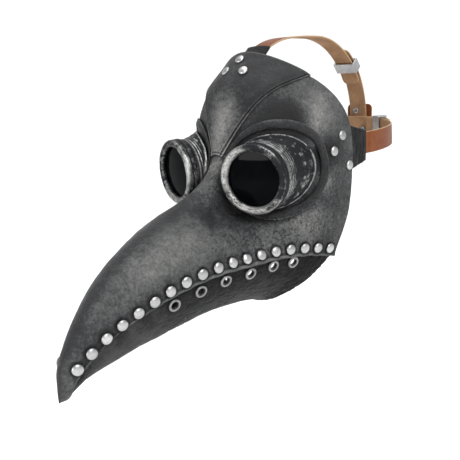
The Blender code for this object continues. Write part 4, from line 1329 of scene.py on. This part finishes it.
def stud_strip(places, depth):
    """Rings of the strip inside the beak that the shanks are clinched to."""
    line = [point - normal * (depth + (FRONT_STRIP_DROP if index < FRONT_STUDS else STRIP_DROP))
            for index, (point, normal) in enumerate(places)]
    last = len(line) - 1
    rings = []
    for index, (_, normal) in enumerate(places):
        way = unit(line[min(index + 1, last)] - line[max(index - 1, 0)])
        across = np.cross(normal, way)
        half = (STRIP_TIP_WIDTH if index < 2 else STRIP_WIDTH) / 2
        centre = line[index] + way * {0: -STRIP_OVERHANG, last: STRIP_OVERHANG}.get(index, 0.0)
        rings.append([centre + across * half * a + normal * STRIP_THICK / 2 * b for a, b in STRIP_SECTION])
    return np.array(rings)


def make_studs():
    """Both rows of domed studs, each with the strip that its shanks are clinched to."""
    depth = SHELL_WALL + TUCK_GAP + PANEL_WALL + 2 * GAP
    for places, label in ((STUDS, "left"), (mirrored(STUDS), "right")):
        bm = bmesh.new()
        for index, (point, normal) in enumerate(places):
            reach = depth + (FRONT_SHANK_DROP if index < FRONT_STUDS else SHANK_DROP)
            add_dome(bm, point, normal, dome_profile(STUD_R, STUD_HEIGHT, SHANK_R, reach), STUD_R)
        strip = stud_strip(places, depth)
        fine = catmull(strip, np.linspace(0, len(strip) - 1, 4 * len(strip)))
        # Painted shade: the hidden strip inside the beak is painted almost black.
        add_capped(bm, fine, {"painted_shade": np.full(fine.shape[:2], 0.95)})
        row = object_of(f"{label}_domed_studs", bm, [STUD_METAL])
        part_of_frame(row, [f"{label}_stud_row"])


def make_rivets():
    """Rivets through the forehead, both temples and the patch at the back."""
    temple = [face_point(row, column) for row, column in TEMPLE_RIVETS]
    rear_y = PATCH_CENTRE[1] + PATCH_SIZE[1] / 2
    rear = [(np.array((x, rear_y, z)), np.array((0.0, 1.0, 0.0))) for x, z in REAR_RIVETS]
    groups = (("left_temple_rivet", temple, RIVET_REACH),
              ("right_temple_rivet", mirrored(temple), RIVET_REACH),
              ("top_rivet", on_panel(TOP_RIVETS), TOP_RIVET_REACH), ("rear_rivet", rear, RIVET_REACH))
    for name, places, reach in groups:
        for index, (point, normal) in enumerate(places):
            bm = bmesh.new()
            profile = dome_profile(RIVET_R, RIVET_HEIGHT, SHANK_R, reach, WASHER_R)
            add_dome(bm, point, normal, profile, RIVET_R)
            rivet = object_of(f"{name}_head_{index + 1}", bm, [STUD_METAL])
            part_of_frame(rivet, [f"{name}_{index + 1}"])


def make_eyelets():
    """Rolled eyelets: a round rim outside, a barrel through the skin and a clenched back."""
    turns = np.radians(np.linspace(185, -30, 12))
    rim = [(4.25 + 1.2 * math.cos(turn), 0.45 + 0.95 * math.sin(turn)) for turn in turns]
    low = -PANEL_WALL
    profile = [*rim, (4.9, 0.12), (3.55, 0.1), (3.5, low - 0.2), (4.3, low - 0.6), (4.35, low - 0.95),
               (3.4, low - 1.25), (3.05, low - 1.0), (3.02, -0.5)]
    # Painted shade in the hole and round the rolled rim's outer edge.
    painted_shade = np.array([smooth_step(3.9, 3.2, r) + 0.4 * smooth_step(5.1, 5.5, r) for r, _ in profile])
    for places, label in ((EYELET_PLACES, "left"), (mirrored(EYELET_PLACES), "right")):
        for index, (point, normal) in enumerate(places):
            grid = turned(point, normal, profile, 40)
            values = {"painted_shade": np.repeat(painted_shade[:, None], 40, axis=1)}
            ring = tube_of(f"{label}_rolled_eyelet_{index + 1}", grid, [EYELET_METAL], values)
            part_of_frame(ring, [f"{label}_eyelet_{index + 1}"])


# ---------------------------------------------------------------- harness


def side_arc(degrees, radius, side):
    """A point and outward normal on the side strap's arc; 0 is the wearer's side, 90 the back."""
    turn = math.radians(degrees)
    back = np.array((0, math.cos(HARNESS_TILT), math.sin(HARNESS_TILT)))
    normal = side * math.cos(turn) * np.array((1.0, 0, 0)) + math.sin(turn) * back
    return np.array(HARNESS_CENTRE) + normal * radius, normal


def crown_arc(degrees, radius):
    """A point and normal on the top strap's arc; 0 is the crown, 90 the back of the head."""
    turn = math.radians(degrees)
    normal = np.array((0, math.sin(turn), math.cos(turn)))
    return np.array(CROWN_CENTRE) + normal * radius, normal


def route_of(arc, stops):
    """Points and normals along an arc at these degrees, as two lists."""
    places = [arc(degrees) for degrees in stops]
    return [point for point, _ in places], [normal for _, normal in places]


WIDTH_WAY = np.array((0, -math.sin(HARNESS_TILT), math.cos(HARNESS_TILT)))
SIDEWAYS = np.array((1.0, 0, 0))
# The edge attribute's value on a strap's underside
FLESH_MARK = 0.35


def strap_section(width, thick):
    """A strap's section as (across, up, edge): rounded edges and a shallow crease beside each."""
    half, top = width / 2, thick / 2
    across = np.linspace(-half + 0.5, half - 0.5, 21)
    crease = 0.16 * (bell(half - 2.2 - np.abs(across), 0.45))
    upper = [(x, top - dip, 0.0) for x, dip in zip(across, crease)]
    turns = np.radians(np.linspace(60, -60, 5))
    right = [(half - 0.5 + 0.5 * math.cos(t), top * 0.9 * math.sin(t) / math.sin(math.radians(60)), 1.0)
             for t in turns]
    lower = [(x, -top, FLESH_MARK) for x in across[::-3]]
    left = [(-x, -z, edge) for x, z, edge in right]
    return upper + right + lower + left


def strap(name, line, normals, width_way, width=STRAP_WIDTH, thick=STRAP_THICK, looks=STRAP_LOOKS,
          camber=(), round_end=(0, 1)):
    """A strap along a line of points. camber lists the radius its section bends to, from the start."""
    line, normals = np.array(line), np.array(normals)
    count = len(line)
    bends = np.array([1 / camber[index] if index < len(camber) else 0.0 for index in range(count)])
    at = np.linspace(0, count - 1, 6 * count)
    fine, facing = catmull(line, at), catmull(normals, at)
    facing = unit(facing)
    bend = np.interp(at, range(count), bends)
    travelled = travel(fine)
    narrow = np.ones(len(at))
    for end, wanted in zip((travelled, travelled[-1] - travelled), round_end):
        if wanted:
            inside = np.clip(end / 6.0, 0, 1)
            narrow *= 0.55 + 0.45 * np.sqrt(1 - (1 - inside) ** 2)
    section = strap_section(width, thick)
    grid = [[point + width_way * x * share + normal * (z - (x * share) ** 2 * curve / 2)
             for x, z, _ in section] for point, normal, curve, share in zip(fine, facing, bend, narrow)]
    edges = np.array([[edge for _, _, edge in section]] * len(at))
    values = {"edge": edges, "wear_and_shade": np.full(edges.shape, 0.5)}
    made = tube_of(name, np.array(grid), looks, values, caps=True)
    underside = [index for index, (_, z, edge) in enumerate(section) if z < 0 and edge == FLESH_MARK]
    for face in made.data.polygons[:-2]:
        if len(looks) > 1 and underside[0] <= face.index % len(section) < underside[-1]:
            face.material_index = 1
    return made


def side_line(side):
    """Points and normals of a side strap: from behind the temple onto the arc round the head."""
    under = SHELL_WALL + TAB_GAP + TAB_WALL + TAB_GAP + STRAP_THICK / 2
    start = [offset_face(row, column, -under - sink) * (side, 1, 1) for row, column, sink in SIDE_START]
    line, normals = route_of(lambda degrees: side_arc(degrees, HARNESS_R, side),
                             np.arange(SIDE_ARC_START, SIDE_FRONT_END + 0.1, 5.0))
    return start + line, [SIDEWAYS * side] * len(start) + normals


def make_side_straps():
    """The two straps from the temples to the back, and their sliders."""
    for side, label in SIDES:
        line, normals = side_line(side)
        made = strap(f"{label}_tan_strap", line, normals, WIDTH_WAY)
        part_of_frame(made, [f"{label}_side_strap"])
        centre, normal = side_arc(SIDE_SLIDER_AT, HARNESS_R + LAYER_STEP / 2, side)
        slider = make_slider(f"{label}_strap_slider", centre, normal, WIDTH_WAY)
        part_of_frame(slider, [f"{label}_side_slider"], f"{label}_side_adjuster")


def make_top_straps():
    """The strap over the crown with its black tab, the one up from the back, and their slider."""
    crown, _ = route_of(lambda degrees: crown_arc(degrees, CROWN_R), np.arange(0, TOP_FRONT_END + 0.1, 6.2))
    route = [np.array((0.0, y, z)) for y, z in TOP_ROUTE] + crown
    ways = np.gradient(np.array(route), axis=0)
    normals = [np.cross(way, -SIDEWAYS) / np.linalg.norm(way) for way in ways]
    front = strap("tan_top_strap", route, normals, SIDEWAYS, camber=TOP_CAMBER)
    part_of_frame(front, ["top_strap"])
    lift = STRAP_THICK / 2 + GAP + TAB_WALL / 2
    tab_line = [point + normal * lift for point, normal in zip(route[:4], normals)]
    tab = strap("black_top_tab", tab_line, normals[:4], SIDEWAYS, TAB_WIDTH, TAB_WALL, [BLACK_LEATHER],
                TOP_CAMBER, round_end=(0, 0))
    part_of_frame(tab, ["top_strap_tab"])
    rear, facing = route_of(lambda degrees: crown_arc(degrees, CROWN_R + LAYER_STEP),
                            np.arange(TOP_REAR_START, 90.1, 7.0))
    rear.append(rear[-1] - (0, 0, REAR_DROP))
    made = strap("tan_upper_rear_strap", rear, facing + facing[-1:], SIDEWAYS, round_end=(1, 0))
    part_of_frame(made, ["top_rear_strap"])
    centre, normal = crown_arc(TOP_SLIDER_AT, CROWN_R + LAYER_STEP / 2)
    slider = make_slider("top_strap_slider", centre, normal, SIDEWAYS)
    part_of_frame(slider, ["top_slider"], "top_adjuster")


def make_rear_strap():
    """The strap round the back, outside the ends of both side straps."""
    degrees = np.arange(SIDE_REAR_START, 90, 5.0)
    radius = HARNESS_R + LAYER_STEP
    line, normals = route_of(lambda turn: side_arc(turn, radius, 1), [*degrees, 90.0])
    others, other_normals = route_of(lambda turn: side_arc(turn, radius, -1), degrees[::-1])
    made = strap("tan_rear_strap", line + others, normals + other_normals, WIDTH_WAY, round_end=(1, 1))
    part_of_frame(made, ["rear_strap"])


def block(sizes):
    """A mesh of a block about the origin."""
    bm = bmesh.new()
    bmesh.ops.create_cube(bm, size=1.0)
    bmesh.ops.scale(bm, vec=sizes, verts=bm.verts)
    return bm


def make_rear_patch():
    """Rounded patch at the back, riveted through both straps."""
    bm = block(PATCH_SIZE)
    upright = [edge for edge in bm.edges if abs(edge.verts[0].co.y - edge.verts[1].co.y) > 1]
    bmesh.ops.bevel(bm, geom=upright, offset=5, segments=6, affect="EDGES", profile=0.5)
    rims = [edge for edge in bm.edges if len({round(vert.co.y, 3) for vert in edge.verts}) == 1
            and any(abs(face.normal.y) < 0.5 for face in edge.link_faces)]
    bmesh.ops.bevel(bm, geom=rims, offset=0.5, segments=3, affect="EDGES", profile=0.5)
    bmesh.ops.translate(bm, vec=PATCH_CENTRE, verts=bm.verts)
    patch = object_of("tan_rear_patch", bm, [TAN])
    patch.data.shade_flat()
    return part_of_frame(patch, ["rear_patch"])


def slab(name, sizes, level=0.0):
    """A steel block, at a height above the origin."""
    bm = block(sizes)
    bmesh.ops.translate(bm, vec=(0, 0, level), verts=bm.verts)
    return object_of(name, bm, [SLIDER_METAL])


def make_slider(name, centre, normal, width_way):
    """A steel loop round both layers of a strap, with a bar between them and softened edges."""
    axes = np.array((width_way, np.cross(normal, width_way), normal)).T
    window = STRAP_THICK + 2 * SLIDER_PLAY
    height = LAYER_STEP + window + 2 * SLIDER_WALL
    width = STRAP_WIDTH + 2 * SLIDER_PLAY
    loop = slab(name, (width + 2 * SLIDER_WALL, SLIDER_LENGTH, height))
    slots = [slab(f"{name}_slot", (width, SLIDER_LENGTH * 2, window), level)
             for level in (-LAYER_STEP / 2, LAYER_STEP / 2)]
    cut(loop, *slots)
    soften = loop.modifiers.new("Soft edges", "BEVEL")
    soften.width = 0.45 * MM
    soften.segments = 3
    soften.limit_method = "ANGLE"
    loop.data.transform(Matrix.Translation(Vector(centre) * MM) @ Matrix(axes.tolist()).to_4x4())
    loop.data.set_sharp_from_angle(angle=math.radians(40))
    return loop


def make_temple_tabs():
    """Creased tabs behind each temple, over the start of the side straps."""
    share = np.linspace(0, 1, 8)
    for side, label in SIDES:
        lines = []
        for row in (10.0, 10.35, 10.7, 11.0):
            top, low = 2.02 + 0.06 * (row - 10), 2.58 + 0.04 * (row - 10)
            lines.append([offset_face(row, column, -SHELL_WALL - TAB_GAP) * (side, 1, 1)
                          for column in top + (low - top) * share])
        edge, _ = side_arc(SIDE_ARC_START, HARNESS_R + STRAP_THICK / 2 + GAP + TAB_WALL, side)
        last = lines[-1]
        level = (last[0][2] + last[-1][2]) / 2 + 0.5
        ends = [np.array((edge[0], edge[1] - 1.5, level + (start[2] - level) * 0.68)) for start in last]
        lines += [[start + (end - start) * 0.45 for start, end in zip(last, ends)], ends]
        coarse = np.array(lines)[:, ::side]
        rows = catmull(coarse, np.linspace(0, len(coarse) - 1, 60))
        grid = np.swapaxes(catmull(np.swapaxes(rows, 0, 1), np.linspace(0, 7, 40)), 0, 1)
        behind = np.linspace(0, 1, 60)[:, None]
        folds = cloudy(grid * (1, 2.6, 0.35), 6, 3, 61.0)
        grid = grid + grid_normals(grid) * (0.45 * smooth_step(0.5, 0.75, behind) * folds)[..., None]
        # Painted shade in the creases, and lighter on their ridges.
        values = {"wear_and_shade": 0.5 + 0.5 * folds * smooth_step(0.4, 0.7, behind)}
        tab = leather_sheet(f"{label}_creased_tab", grid, TAB_WALL, BLACK_LOOKS, values)
        part_of_frame(tab, [f"{label}_temple_tab"])


# ---------------------------------------------------------------- stage, lights and camera


def make_stage():
    """A pale floor that curves up into a backdrop on every side."""
    bm = bmesh.new()
    bends = np.radians(np.linspace(0, 90, 24))
    profile = [(0.02, 0.0), *[(1.0 + 2.6 * math.sin(bend), 2.6 * (1 - math.cos(bend))) for bend in bends],
               (3.6, 3.2)]
    turns = np.linspace(0, 2 * math.pi, 64, endpoint=False)
    rings = [[(r * math.cos(t), r * math.sin(t), FLOOR_Z + z) for t in turns] for r, z in profile]
    verts = add_grid(bm, np.array(rings), closed_columns=True)
    bm.faces.new(verts[0])
    floor = smooth_object("pale_sweep", bm, [PAPER])


def aim_object(thing, place, aim, roll=0.0):
    """Puts a lamp or camera in its place and points it."""
    thing.location = place
    thing.rotation_mode = "QUATERNION"
    facing = (Vector(aim) - Vector(place)).to_track_quat("-Z", "Y")
    thing.rotation_quaternion = facing @ Quaternion((0, 0, 1), roll)


def area_light(name, place, size, power):
    """A soft rectangular lamp aimed at the mask."""
    data = bpy.data.lights.new(name, "AREA")
    data.shape = "RECTANGLE"
    data.size, data.size_y = size
    data.energy = power
    aim_object(placed(name, data), place, LIGHT_AIM)


def make_lights():
    """Even light from all round, and three soft lamps."""
    world = bpy.data.worlds.new("studio")
    world.use_nodes = True
    background = world.node_tree.nodes["Background"]
    background.inputs["Color"].default_value = (1, 1, 1, 1)
    background.inputs["Strength"].default_value = WORLD_LIGHT
    bpy.context.scene.world = world
    for light in LIGHTS:
        area_light(*light)


def make_camera():
    """The camera at the photograph's viewpoint."""
    data = bpy.data.cameras.new("camera")
    data.lens = CAMERA_LENS
    data.sensor_width = 36
    camera = placed("camera", data)
    aim_object(camera, CAMERA_AT, CAMERA_AIM, CAMERA_ROLL)
    bpy.context.scene.camera = camera
    bpy.context.scene.view_settings.view_transform = "Standard"


make_face_skin()
make_forehead()
make_lower_skin()
make_stitching()
make_goggles()
make_studs()
make_rivets()
make_eyelets()
make_side_straps()
make_top_straps()
make_rear_strap()
make_rear_patch()
make_temple_tabs()
make_stage()
make_lights()
make_camera()
